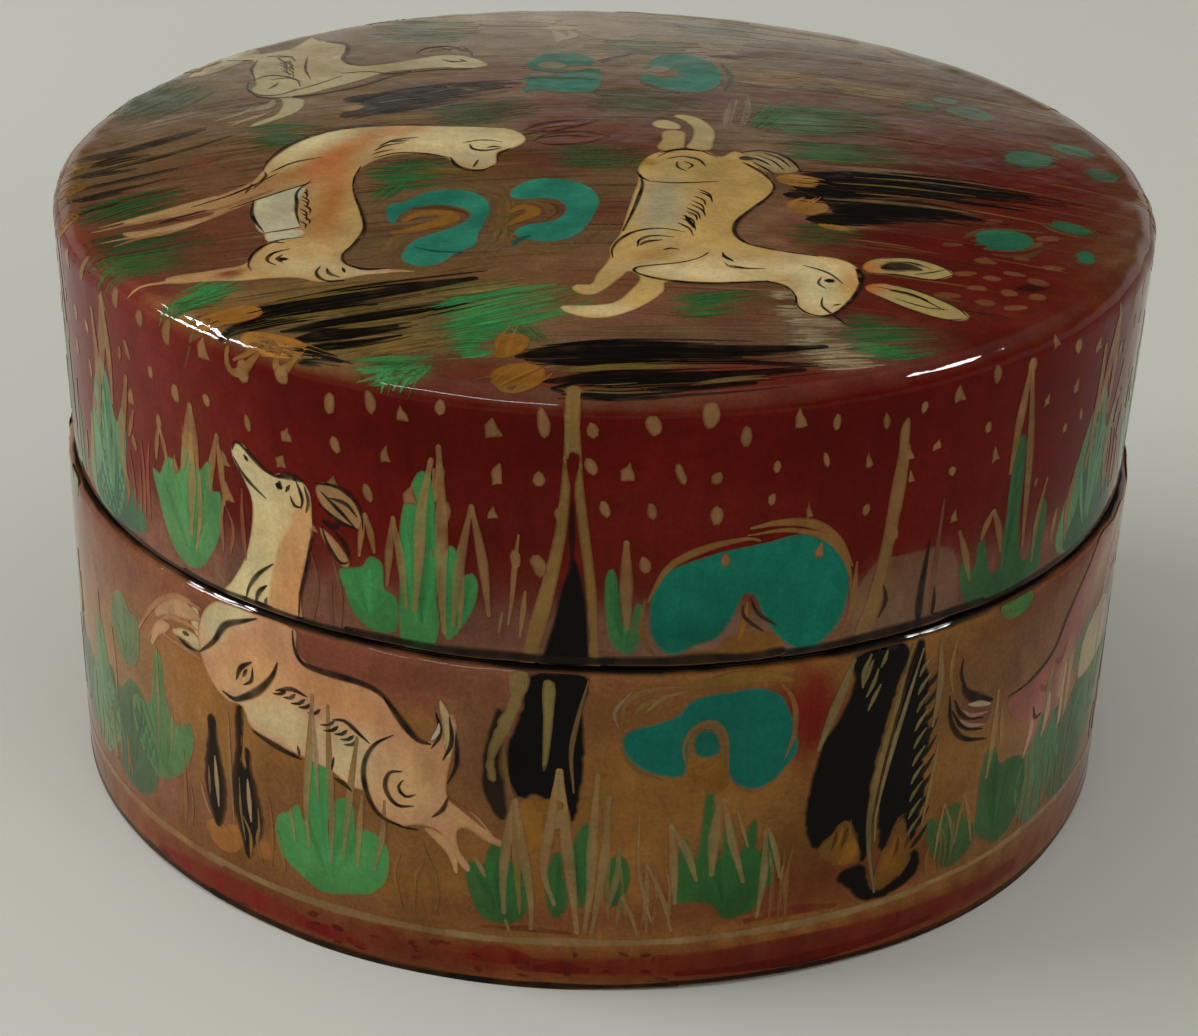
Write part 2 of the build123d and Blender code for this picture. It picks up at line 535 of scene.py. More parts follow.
# ---- the ground under the painting ------------------------------------------------------------------------
ASH = colour("85775f")
TOP_GREENS = (                                   # where the brush landed and lifted, its widths, paint, cover
    ((-11.2, -36), (-1.6, -30.4), (5.9, 5.5), LEAF, 0.85),
    ((-12.6, -30.6), (-6.2, -27.4), (2.6, 1.8), colour("34592c"), 0.6),
    ((-11, -38.4), (-6, -36.2), (3.3, 2.6), LEAF, 0.9),
    ((-10.6, -40.8), (-7.4, -40.2), (4.0, 3.3), LEAF, 0.95),
    ((-5.2, -36.8), (-3.6, -39.4), (1.8, 1.3), GREEN, 0.7),
    ((-33.4, -33.6), (-29.2, -30), (2.2, 1.5), LEAF, 0.9),
    ((-32.6, -31.6), (-30, -28.6), (2.0, 1.5), LEAF, 0.8),
    ((-34.8, -34.8), (-30, -33), (2.0, 1.1), GREEN, 0.7),
    ((-17.6, -45), (-12, -44), (3.3, 2.6), LEAF, 0.9),
    ((-15, -47.4), (-12.6, -43.6), (2.9, 2.4), LEAF, 0.85),
    ((8, -31.2), (14, -28.8), (2.2, 1.8), GREEN, 0.85),
    ((7.6, -33.4), (13, -32.2), (2.0, 1.3), GREEN, 0.75),
    ((21.4, -36.4), (28.6, -35.2), (2.6, 2.2), GREEN, 0.85),
    ((21.4, -33.4), (25.6, -33.6), (2.0, 1.8), colour("34512a"), 0.7),
    ((23.6, -39.6), (28.6, -38), (2.6, 1.8), GREEN, 0.75),
    ((22, -38.4), (26, -39.4), (1.8, 1.3), LEAF, 0.6),
    ((17.8, -15.4), (24, -15.6), (3.5, 2.9), MOSS, 0.75),
    ((18.2, 5.6), (29.4, 5.6), (4.2, 3.5), colour("3f6038"), 0.9),
    ((15.4, 14.4), (28, 14), (7.0, 4.6), colour("44643f"), 0.9),
    ((15.8, 12), (18, 18.4), (2.0, 1.8), GREEN, 0.6),
    ((16, 18.6), (27, 17.4), (1.8, 1.3), MOSS, 0.5),
    ((-2.6, 1.8), (4.6, 3.4), (4.8, 4.0), colour("37512f"), 0.75),
    ((-2.8, 0), (3.6, 0), (2.4, 2.0), MOSS, 0.5),
    ((-14.8, 12), (-6, 15.4), (5.1, 3.5), colour("3f5030"), 0.8),
    ((-31.4, 5.4), (-25.6, 6.6), (5.5, 4.2), colour("3a5a35"), 0.75),
    ((-43.2, -15.4), (-36, -9), (4.4, 3.5), colour("33532b"), 0.85),
    ((-42.6, -22.6), (-34, -18.4), (4.8, 3.5), colour("334f2b"), 0.8),
    ((-41.4, -26.6), (-34.4, -23.4), (4.0, 3.1), GREEN, 0.7),
    ((-44, 12), (-39, 20), (5.1, 4.8), colour("465640"), 0.6),
    ((-46, 17), (-42, 24), (3.3, 3.3), colour("4c5a48"), 0.5),
    ((-21.6, 39.6), (-12.4, 40.4), (5.5, 4.0), colour("52604a"), 0.6),
    ((-20, 36.8), (-13, 37.6), (2.6, 2.2), colour("4f5c46"), 0.5),
    ((0.4, 18.6), (9.6, 17.6), (4.8, 4.4), colour("45482c"), 0.7),
    ((0, 35.4), (9.6, 35.8), (4.0, 3.3), colour("55604c"), 0.5),
    ((-19.4, -3.4), (-12.6, -2.8), (3.3, 2.6), GREEN, 0.8),
    ((-18.4, -6.4), (-13.8, -4.8), (2.6, 2.2), GREEN, 0.7),
    ((-18, -1.6), (-12.8, 0.2), (2.9, 1.3), MOSS, 0.8),
    ((-18.8, -9.4), (-16.8, -5.2), (2.0, 1.5), GREEN, 0.6),
    ((9, 43.6), (16, 42), (3.3, 2.6), colour("5a6350"), 0.5),
)
TOP_EARTHS = (                                   # the same, in ochre and taupe
    ((-33, -37.4), (-26, -35.4), (2.6, 2.2), colour("64431c"), 0.6),
    ((-17, -2.4), (-8, -4.2), (1.6, 2.2), colour("6a4f23"), 0.7),
    ((13.6, 27.4), (24, 26), (5.0, 4.0), colour("7d6444"), 0.95),
    ((22, 26.2), (34, 22.4), (3.4, 2.0), colour("786546"), 0.9),
    ((-22, 11), (-12, 12.6), (2.2, 1.4), colour("6f5730"), 0.6),
    ((-17, 22.4), (-9, 19.4), (1.4, 1.2), colour("6a552f"), 0.4),
    ((-21, 23.6), (-13, 25), (3.0, 2.4), colour("6b5732"), 0.6),
    ((15, -28.8), (18.4, -28.8), (2.0, 1.6), ASH, 0.7),
    ((15.4, -32), (19.4, -32), (2.4, 2.0), ASH, 0.7),
    ((16, -35), (22.4, -34.4), (3.4, 2.4), ASH, 0.8),
    ((16.6, -38), (22, -37.4), (3.0, 2.6), ASH, 0.7),
    ((17.6, -41.6), (24.4, -40.4), (3.6, 3.0), ASH, 0.9),
    ((-37, -3), (-33, 1), (1.6, 1.2), ROSE, 0.4),
    ((14, 9), (22, 8.2), (2.8, 1.4), colour("72604c"), 0.85),
    ((13.4, 11), (14.4, 21), (2.8, 2.2), colour("72604c"), 0.8),
    ((-44, 2.4), (-37.6, 8.2), (1.2, 1.0), TAUPE, 0.5),
    ((-44.6, 6), (-34, 14.4), (2.0, 1.6), TAUPE, 0.4),
    ((-45, -4.2), (-39, 0.6), (0.9, 0.8), STRAW, 0.5),
    ((-6, -23.4), (-14, -27), (1.4, 1.4), colour("60492b"), 0.6),
    ((20, -13.4), (30, -13), (0.8, 0.6), TAUPE, 0.3),
    ((24, 17), (38, 14), (2.0, 2.4), colour("63503c"), 0.4),
    ((30, 12), (40, 9), (1.2, 1.4), colour("633527"), 0.5),
    ((20, 30), (36, 26), (4.0, 3.0), colour("5d4338"), 0.5),
    ((14, 35), (30, 31), (3.0, 3.0), colour("6a5a49"), 0.5),
)


def soaked(patches, strength):
    """Soft dabs in the ground under patches of dry brush."""
    made = []
    for (x0, y0), (x1, y1), widths, paint, cover in patches:
        length, turn = math.hypot(x1 - x0, y1 - y0), math.degrees(math.atan2(y1 - y0, x1 - x0))
        made.append(((x0 + x1) / 2, (y0 + y1) / 2, length * 0.56, sum(widths) * 0.3, turn, paint * 0.7,
                     cover * strength))
    return made


top_ground = dabs(BROWN, [
    # the grey at the back is partly the ground's own colour, partly painted reflection of the pale room
    (10, 40, 40, 12, 0, STONE, 0.9),             # greyer towards the back
    (-15, 44, 26, 6, 12, STONE, 0.7),
    (22, 38, 20, 5, -20, colour("6a6152"), 0.8),
    (-38, 8, 17, 12, 40, colour("685037"), 0.9), # left, brushed up towards the middle
    (-45, 12, 6, 9, 80, colour("6b5140"), 0.7),
    (-41, 16, 6, 5, 60, MOSS, 0.55),
    (-40, -12, 8, 4, 45, MAROON, 0.6),
    (-33, -6, 8, 6, 50, colour("6a4632"), 0.7),
    (-33, -15, 6, 8, 80, colour("653526"), 0.9),
    (-32, -24, 7, 6, 60, colour("5a3022"), 0.7),
    (-42, -24, 10, 3.5, -62, ROSE, 0.9),
    (-35, -33, 8, 3.5, -50, ROSE, 0.8),
    (-28, 12, 9, 4, 40, colour("6d583c"), 0.7),
    (-36, 24, 5, 10, 60, colour("6b5b45"), 0.7),
    (-12, 26, 5, 9, 70, colour("6a4a3c"), 0.8),  # dull red behind the ears of the hind deer
    (-9, 38, 4, 5, 90, colour("65493c"), 0.5),
    (-18, 8, 14, 4, 8, colour("66512e"), 0.5),
    (-2, 15, 7, 4, 60, MAROON, 0.8),
    (3, 7, 7, 6, 0, colour("562d20"), 0.9),
    (-5, 1, 5, 5, 0, colour("562d20"), 0.8),
    (-8, -2, 3, 8, 20, colour("5e4226"), 0.6),
    (2, -12, 4, 12, 85, colour("5a3526"), 0.9),
    (-19, -15, 4, 10, 90, colour("5c452e"), 0.8),
    (-6, -25, 13, 4, 8, colour("674632"), 0.9),
    (-16, -28, 14, 3, 22, colour("6b5232"), 0.8),
    (-24, -32, 10, 4, 30, colour("66502e"), 0.8),
    (-34, -35, 6, 3, 40, colour("75562e"), 0.8),
    (2, -30, 9, 6, 0, colour("683e2d"), 0.9),
    (6, -33, 14, 5, 4, colour("684532"), 0.8),
    (-14, -38, 14, 6, 30, colour("6d5a34"), 0.85),
    (6, -37, 12, 3, 0, colour("654638"), 0.7),
    (18, -12, 5, 5, 0, colour("775b46"), 0.85),   # pinkish ground right of the hare
    (16, -15, 4, 4, 60, colour("775b46"), 0.75),
    (17, 5, 4, 5, 0, colour("775f4a"), 0.8),
    (13, 16, 4, 7, 90, colour("5c392c"), 0.8),
    (9, 19, 3, 5, 90, colour("572a21"), 0.7),
    (4, 24, 3, 7, 90, colour("5d3d30"), 0.7),
    (28, 12, 12, 4, 0, colour("54301f"), 0.7),
    (36, 10, 12, 10, 0, colour("58291e"), 0.8),
    (42, 2, 9, 8, 0, colour("561c14"), 0.9),
    (30, -2, 12, 8, 0, colour("4e1a0f"), 0.8),
    (40, -8, 9, 10, 0, colour("52140c"), 0.9),
    (28, -16, 12, 6, -8, colour("4f120b"), 0.95),
    (36, -24, 12, 11, -30, colour("501008"), 0.97),
    (27, -25, 6, 8, 0, colour("4e140c"), 0.9),
    (26, -33, 10, 5, -20, colour("54160e"), 0.9),
    (30, -38, 12, 4, 40, colour("4c0d08"), 0.95),
    (22, -38, 7, 5, 10, colour("66523f"), 0.5),
    (14, -45, 18, 4, 8, colour("5a1a12"), 0.9),
    (-10, -46, 9, 4, 0, colour("5c2a1f"), 0.9),
    (26, 20, 14, 5, -20, colour("5c3f30"), 0.6),
    (40, 22, 8, 10, -60, colour("5f4a3e"), 0.6),
    (22, 33, 14, 5, -12, colour("64503f"), 0.7),
    (5, 18, 8, 4, 0, colour("4a4128"), 0.6),
    (-40, 30, 6, 8, 50, colour("655a49"), 0.6),
] + soaked(TOP_EARTHS, 0.5) + soaked(TOP_GREENS, 0.35))

LID_REPEAT = 52                                  # the ground's patches come again this far on round the lid
BASE_REPEAT = 110                                # and round the base
lid_side_ground = dabs(RED, [
    (turn * LID_REPEAT + a, *dab)
    for turn in range(-3, 4)
    for a, *dab in (
        (10, 33.5, 26, 4.2, 0, TAUPE, 0.75),
        (-14, 34.0, 24, 4.5, 0, colour("5e3a2c"), 0.7),
        (2, 45.0, 20, 4.0, 0, colour("56140c"), 0.5),
        (30, 52.0, 18, 3.0, 0, DEEP_RED, 0.6),
        (-4, 39.5, 14, 2.5, 0, colour("531c12"), 0.5),
    )
# painted reflection: a paler, pinker veil on the lid's far left and a paler, greyer one on its far right,
# where the lacquer catches the room's light
] + [(-46, 45, 14, 14, 0, colour("6b2a20"), 0.5), (65, 42, 7, 16, 0, colour("7a5a50"), 0.7)])

base_ground = dabs(EARTH, [
    (turn * BASE_REPEAT + a, *dab)
    for turn in (-1, 0, 1)
    for a, *dab in (
        (-22, 29.5, 26, 3.4, 0, colour("65362c"), 0.9),
        (-8, 24.0, 8, 6.0, 90, colour("664436"), 0.6),
        (-52, 27.0, 14, 5.0, 10, colour("6a4334"), 0.7),
        (6, 27.5, 14, 3.0, 0, colour("604022"), 0.6),
        (18, 27.0, 3.4, 4.6, 90, colour("5a1d12"), 0.9),
        (50, 30.5, 14, 1.6, 5, colour("5c1d14"), 0.8),
        (42, 25.0, 14, 5.0, 0, colour("5b4129"), 0.8),
        (-22, 14.0, 12, 5.0, 0, colour("66452a"), 0.6),
        (-46, 8.5, 16, 4.0, 8, colour("6b4030"), 0.8),
        # painted reflection: a pale veil at the base's far left, which the repeat also puts at its far right
        (-55, 16.0, 9, 14.0, 90, colour("866e54"), 0.5),
        (20, 12.0, 12, 5.0, 0, colour("4a2f16"), 0.8),
        (22, 8.6, 18, 3.0, 0, colour("552317"), 0.7),
        (50, 9.0, 10, 6.0, 0, colour("4d3b26"), 0.7),
        (-2, 7.2, 14, 1.4, 0, colour("5a2f20"), 0.6),
        (-30, 5.6, 22, 1.6, 0, colour("5c3a22"), 0.6),
        (24, 2.2, 30, 2.2, 0, colour("571a10"), 0.95),
        (-26, 2.2, 30, 2.2, 0, colour("5b2016"), 0.95),
        (-28, 2.6, 10, 1.5, 0, colour("5a3a22"), 0.5),
        (-8, 3.0, 4, 1.0, 0, colour("66180f"), 0.6),
        (19, 26.0, 1.8, 5.0, 0, colour("5c130b"), 1.0),
    )
])

AROUND = NOMINAL * math.pi                       # half way round the box
FRIEZE = 2 * AROUND / 3                          # three friezes go round, the first of them in front
canvases[TOP] = Canvas((-EDGE_RADIUS - 4, -EDGE_RADIUS - 4), (EDGE_RADIUS + 4, EDGE_RADIUS + 4), top_ground)
canvases[LID] = Canvas((-AROUND, LID_RIM - 1), (AROUND, EDGE + 3), lid_side_ground)
canvases[BASE] = Canvas((-AROUND, -1), (AROUND, BASE_RIM + 1), base_ground)


# ---- brushwork --------------------------------------------------------------------------------------------
def wobble(size):
    return np.array([chance.gauss(0, size), chance.gauss(0, size)])


def tinted(paint, spread=0.10):
    """The same pigment a little thicker or thinner, lighter or darker."""
    return np.clip(paint * (1 + chance.gauss(0, spread)), 0, 1)


def bristles(surface, pigment, spine, widths, count, paint, layer, thick, ragged, spread=0.12, cover=1.0):
    """Marks of a spread brush drawn along a spine.

    widths are the brush's at the start, the middle and the end.
    """
    path = curve(spine, 1.0)
    run, across = measured(path)
    t = run / run[-1]
    half = np.interp(t, (0, 0.5, 1), widths) / 2
    for i in range(count):
        share = 2 * (i + 0.5) / count - 1 + chance.gauss(0, 0.5 / count)
        first, last = chance.uniform(0, ragged * 0.6), 1 - chance.uniform(0, ragged)
        at = np.linspace(first, last, 4)
        mark = path + across * (half * share)[:, None]
        points = np.column_stack([np.interp(at, t, mark[:, k]) for k in (0, 1)])
        width = thick * 2 * half.mean() / count * chance.uniform(0.7, 1.5)
        stroke(surface, pigment, points, width, tinted(paint, spread), layer, chance.uniform(0.25, 0.6), 0.2,
               cover=cover * chance.uniform(0.75, 1.0))


def patch(pigment, start, end, widths, paint, cover, layer=2):
    """Dry brush between two places on the top: broad soft marks, then thin ones in and round them."""
    start, end = np.array(start, float), np.array(end, float)
    along = end - start
    side = np.array([-along[1], along[0]]) * chance.uniform(-0.05, 0.05)
    spine = [start, (start + end) / 2 + side, end]
    count = max(int(max(widths) * 1.2), 2)
    shape = (widths[0] * 0.9, (widths[0] + widths[1]) * 0.56, widths[1] * 0.9)
    bristles(TOP, pigment, spine, shape, count + 1, paint, layer, 1.0, 0.45, 0.08, cover)
    bristles(TOP, pigment, spine, shape, count * 2, paint * 1.1, layer + 1, 0.55, 0.6, 0.2, cover * 0.8)
    bristles(TOP, pigment, spine, shape, count * 2, paint * 0.4, layer + 1, 0.32, 0.4, 0.3, cover * 0.7)


def streaks(middle, spread, count, reach, paints, slope):
    """Thin marks that a dry brush leaves over the ground of the top, along the way it was drawn."""
    for _ in range(count):
        place = np.array([chance.gauss(middle[0], spread[0]), chance.gauss(middle[1], spread[1])])
        if np.hypot(*place) > CORNER_R - 1:
            continue
        rise = slope(place)
        way = np.array([1, rise]) / math.hypot(1, rise) * chance.uniform(*reach) / 2
        bend = np.array([-way[1], way[0]]) * chance.uniform(-0.06, 0.06)
        width = chance.uniform(0.15, 0.5)
        stroke(TOP, "streaks", [place - way, place + bend, place + way], width,
               tinted(chance.choice(paints), 0.15), 1, chance.uniform(0.3, 0.7), 0.2, step=1.2,
               cover=0.45 * chance.uniform(0.6, 1.4))


def line(surface, points, width, paint, layer=5, belly=0.5, blunt=0.2):
    """A drawn outline."""
    stroke(surface, "ink", points, width * (0.7 if surface is TOP else 0.85), paint, layer, belly, blunt,
           step=0.5)


def lines(surface, width, paint, *runs, layer=5):
    for points in runs:
        line(surface, points, width * chance.uniform(0.85, 1.15), paint, layer)


def hatches(surface, start, end, lean, length, count, width, paint=INK):
    """A row of short curved hairs from one place to another, each leaning the same way."""
    start, end = np.array(start, float), np.array(end, float)
    lean = np.array(lean, float) / np.linalg.norm(lean)
    for i in range(count):
        root = start + (end - start) * i / max(count - 1, 1) + wobble(0.12)
        tip = root + lean * length * chance.uniform(0.8, 1.15)
        side = np.array([-lean[1], lean[0]]) * length * 0.14
        line(surface, [root, (root + tip) / 2 + side, tip], width * chance.uniform(0.8, 1.2), paint,
             belly=0.3)


def blot(surface, pigment, place, size, paint, layer, turn=0.0, cover=1.0):
    """A dab of a round brush: an oval that isn't quite one."""
    turn = math.radians(turn)
    points = []
    for i in range(7):
        angle = 2 * math.pi * i / 7
        reach = chance.uniform(0.86, 1.12)
        u, v = size[0] * reach * math.cos(angle), size[1] * reach * math.sin(angle)
        points.append((place[0] + u * math.cos(turn) - v * math.sin(turn),
                       place[1] + u * math.sin(turn) + v * math.cos(turn)))
    fill(surface, pigment, points, paint, layer, cover=cover)


def feather(surface, spine, width, paint=BLACK, streak=None, bristly=False, layer=3, cover=1.0):
    """A dark leaf along a spine, with the marks of single bristles round it and pale streaks over it."""
    stroke(surface, "black", spine, width, paint, layer, 0.25, 0.3, cover=cover)
    if bristly:
        last = np.array(spine[-1], float)
        longer = spine + [last + (last - np.array(spine[-2], float)) * 0.5]
        count = max(int(width * 1.9), 3)
        shape = (width * 0.9, width * 1.3, width * 0.7)
        bristles(surface, "black", longer, shape, count, paint, layer + 1, 0.7, 0.5, 0.1, cover)
        bristles(surface, "black", longer, shape, count, paint * 1.6, layer + 1, 0.3, 0.8, 0.2, 0.7 * cover)
    if streak is not None:
        bristles(surface, "pale", spine, (width * 0.3, width * 0.8, width * 0.5), 4, streak, layer + 3, 0.3,
                 0.6, 0.15, 0.75)


def bulb(place, size, turn, paint, layer=4):
    """The ochre root of a plant on the top: a soft round dab, its foot darker."""
    (u, v), (long, wide) = place, size
    foot = (u - long * 0.5, v - wide * 0.4, long * 0.6, wide * 0.7, turn, paint * 0.55, 0.7)
    blot(TOP, "bulbs", place, size, dabs(paint, [foot]), layer, turn, 0.92)
    turn = math.radians(turn)
    way = np.array([math.cos(turn), math.sin(turn)]) * long
    place = np.array(place, float)
    widths = (wide, wide * 2.0, wide * 1.2)
    bristles(TOP, "bulbs", [place - way, place, place + way * 1.5], widths, 4, paint, layer + 1, 0.5, 0.4,
             0.15, 0.9)


# ---- the lid's top ----------------------------------------------------------------------------------------
def rock(body, edge, details):
    """A curled teal rock: broad brown edging, the flat teal, and dabs inside it."""
    for points, width in edge:
        bristles(TOP, "edging", points, (width * 0.8, width * 1.2, width * 0.8), 5, colour("5f4a28"), 2, 1.7,
                 0.3, 0.12, 0.5)
    fill(TOP, "teal", body,
         dabs(colour("2a7362"), [(p[0] + 1, p[1] - 1, 4, 1.4, 60, DARK_TEAL, 0.35) for p in body[::3]]), 3)
    for points, width, paint in details:
        stroke(TOP, "edging", points, width, paint, 4, 0.5, 0.4)


def rocks():
    umber, warm = colour("453217"), colour("7a5320")
    # front, left: a C open to the left over a foot
    rock([(-17.6, -11), (-16.4, -10.3), (-15.2, -8.6), (-13.2, -7.2), (-11, -7.3), (-9.3, -8.9),
          (-8.6, -11.5), (-8.9, -14.5), (-9.4, -17.5), (-9.6, -20), (-11.2, -22), (-12.3, -24), (-14, -24.8),
          (-15.6, -23.6), (-15.6, -21), (-14.6, -18.6), (-12.6, -16.8), (-10.9, -14.9), (-10.4, -12.6),
          (-11.8, -11.2), (-14, -11), (-15.6, -12), (-16.6, -13.8), (-17, -15.3), (-17.7, -13.4)],
         [
             ([(-17, -5.5), (-12, -5.6), (-8, -8), (-7.2, -13), (-8, -19), (-9.5, -23), (-5, -26)], 1.7),
             ([(-19, -24), (-17, -22), (-16.4, -19), (-13, -16.5)], 1.3),
         ], [
             ([(-15.5, -11.7), (-13, -11.6), (-11, -12.4), (-10.6, -13.2)], 0.9, umber),
             (
                 [(-16.2, -14.8), (-14.5, -12.9), (-12.4, -12.9), (-12, -14), (-15, -16.5), (-17, -17.5)],
                 1.9,
                 warm,
             ),
             ([(-14.8, -20.6), (-13, -21.4), (-10.6, -21.6)], 0.5, DARK_TEAL),
         ])
    # front, right: a C open to the left
    rock([(-6.9, -8.8), (-6.8, -6.6), (-5.2, -4.4), (-3.4, -3.9), (-1.2, -4.6), (0.4, -6.6), (1, -9.4),
          (0.6, -12.5), (0, -15), (-1, -17.4), (-3, -18.9), (-5, -18.6), (-6.3, -17.2), (-5.6, -15.4),
          (-4, -14.6), (-2.6, -13.6), (-2, -11.6), (-2.4, -9.8), (-3.8, -8.9), (-5.4, -9.2)],
         [
             ([(-8, -4.5), (-7.4, -9), (-7.8, -14), (-6.8, -19.5), (-3, -21), (0.5, -18.5), (1.9, -13)], 1.6),
             ([(-7.5, -9.8), (-4.5, -9.9), (-3, -11.5), (-3.6, -13.6), (-5.5, -14.6)], 1.1),
         ], [
             ([(-6.9, -12.5), (-5.6, -11), (-4.8, -12.2), (-6, -14), (-7, -15.4)], 1.6, warm),
             ([(-4.6, -9.6), (-3, -10.4), (-2.7, -12.4), (-3.6, -13.8)], 0.6, umber),
             ([(-6.4, -20), (-5.9, -18.6), (-4.9, -17.6)], 0.9, DARK_TEAL),
         ])
    hazy = colour("2c5a49")
    # the pair at the back
    for shape in (
        [(-6.6, 27.6), (-6.2, 30.4), (-4.4, 32.4), (-2, 32.7), (-0.2, 31.2), (-0.4, 28.9), (-2, 28.6),
         (-3.6, 26.9), (-5.2, 26.4)],
        [(-6.9, 24.4), (-4.6, 25.6), (-2, 26.6), (-0.4, 28), (0.8, 26), (0.7, 23), (-0.2, 20.6), (-2.4, 20.2),
         (-5, 20.6), (-6.8, 20.2), (-6.4, 22.4)],
        [(4.9, 26.8), (4.6, 24.4), (6, 22.8), (8, 21.6), (10.2, 21.3), (11.9, 23), (12.7, 26), (12.3, 29.6),
         (11, 32.2), (9, 33.6), (6.8, 33), (5.6, 31), (5.4, 29), (6.6, 27.8), (7.8, 28.4), (8.4, 26.8),
         (7, 25.6)],
    ):
        fill(TOP, "teal", shape, dabs(hazy, [(-3, 22.5, 4, 2, 0, TEAL, 0.7), (10, 25, 3, 4, 90, TEAL, 0.6)]),
             3)
    lines(TOP, 1.1, colour("3b4028"),
          [(-7, 27.4), (-3.6, 26.6), (0.6, 27.6)], [(-7, 24.2), (-3.5, 24.8), (0, 24.4)],
          [(4.6, 24), (6.6, 22.4), (8.4, 21.2)], [(12.8, 22.6), (13.5, 26.6), (12.6, 31.2)])
    blot(TOP, "edging", (-4.3, 28.6), (1.5, 1.3), colour("6b6148"), 4)
    blot(TOP, "edging", (6.4, 28.2), (1.2, 1.1), colour("6f634d"), 4)
    lines(TOP, 0.9, SEPIA, [(0.4, 30.5), (2.4, 32), (3.6, 33)], [(11.5, 33.4), (14, 33.3), (15.6, 33.8)])


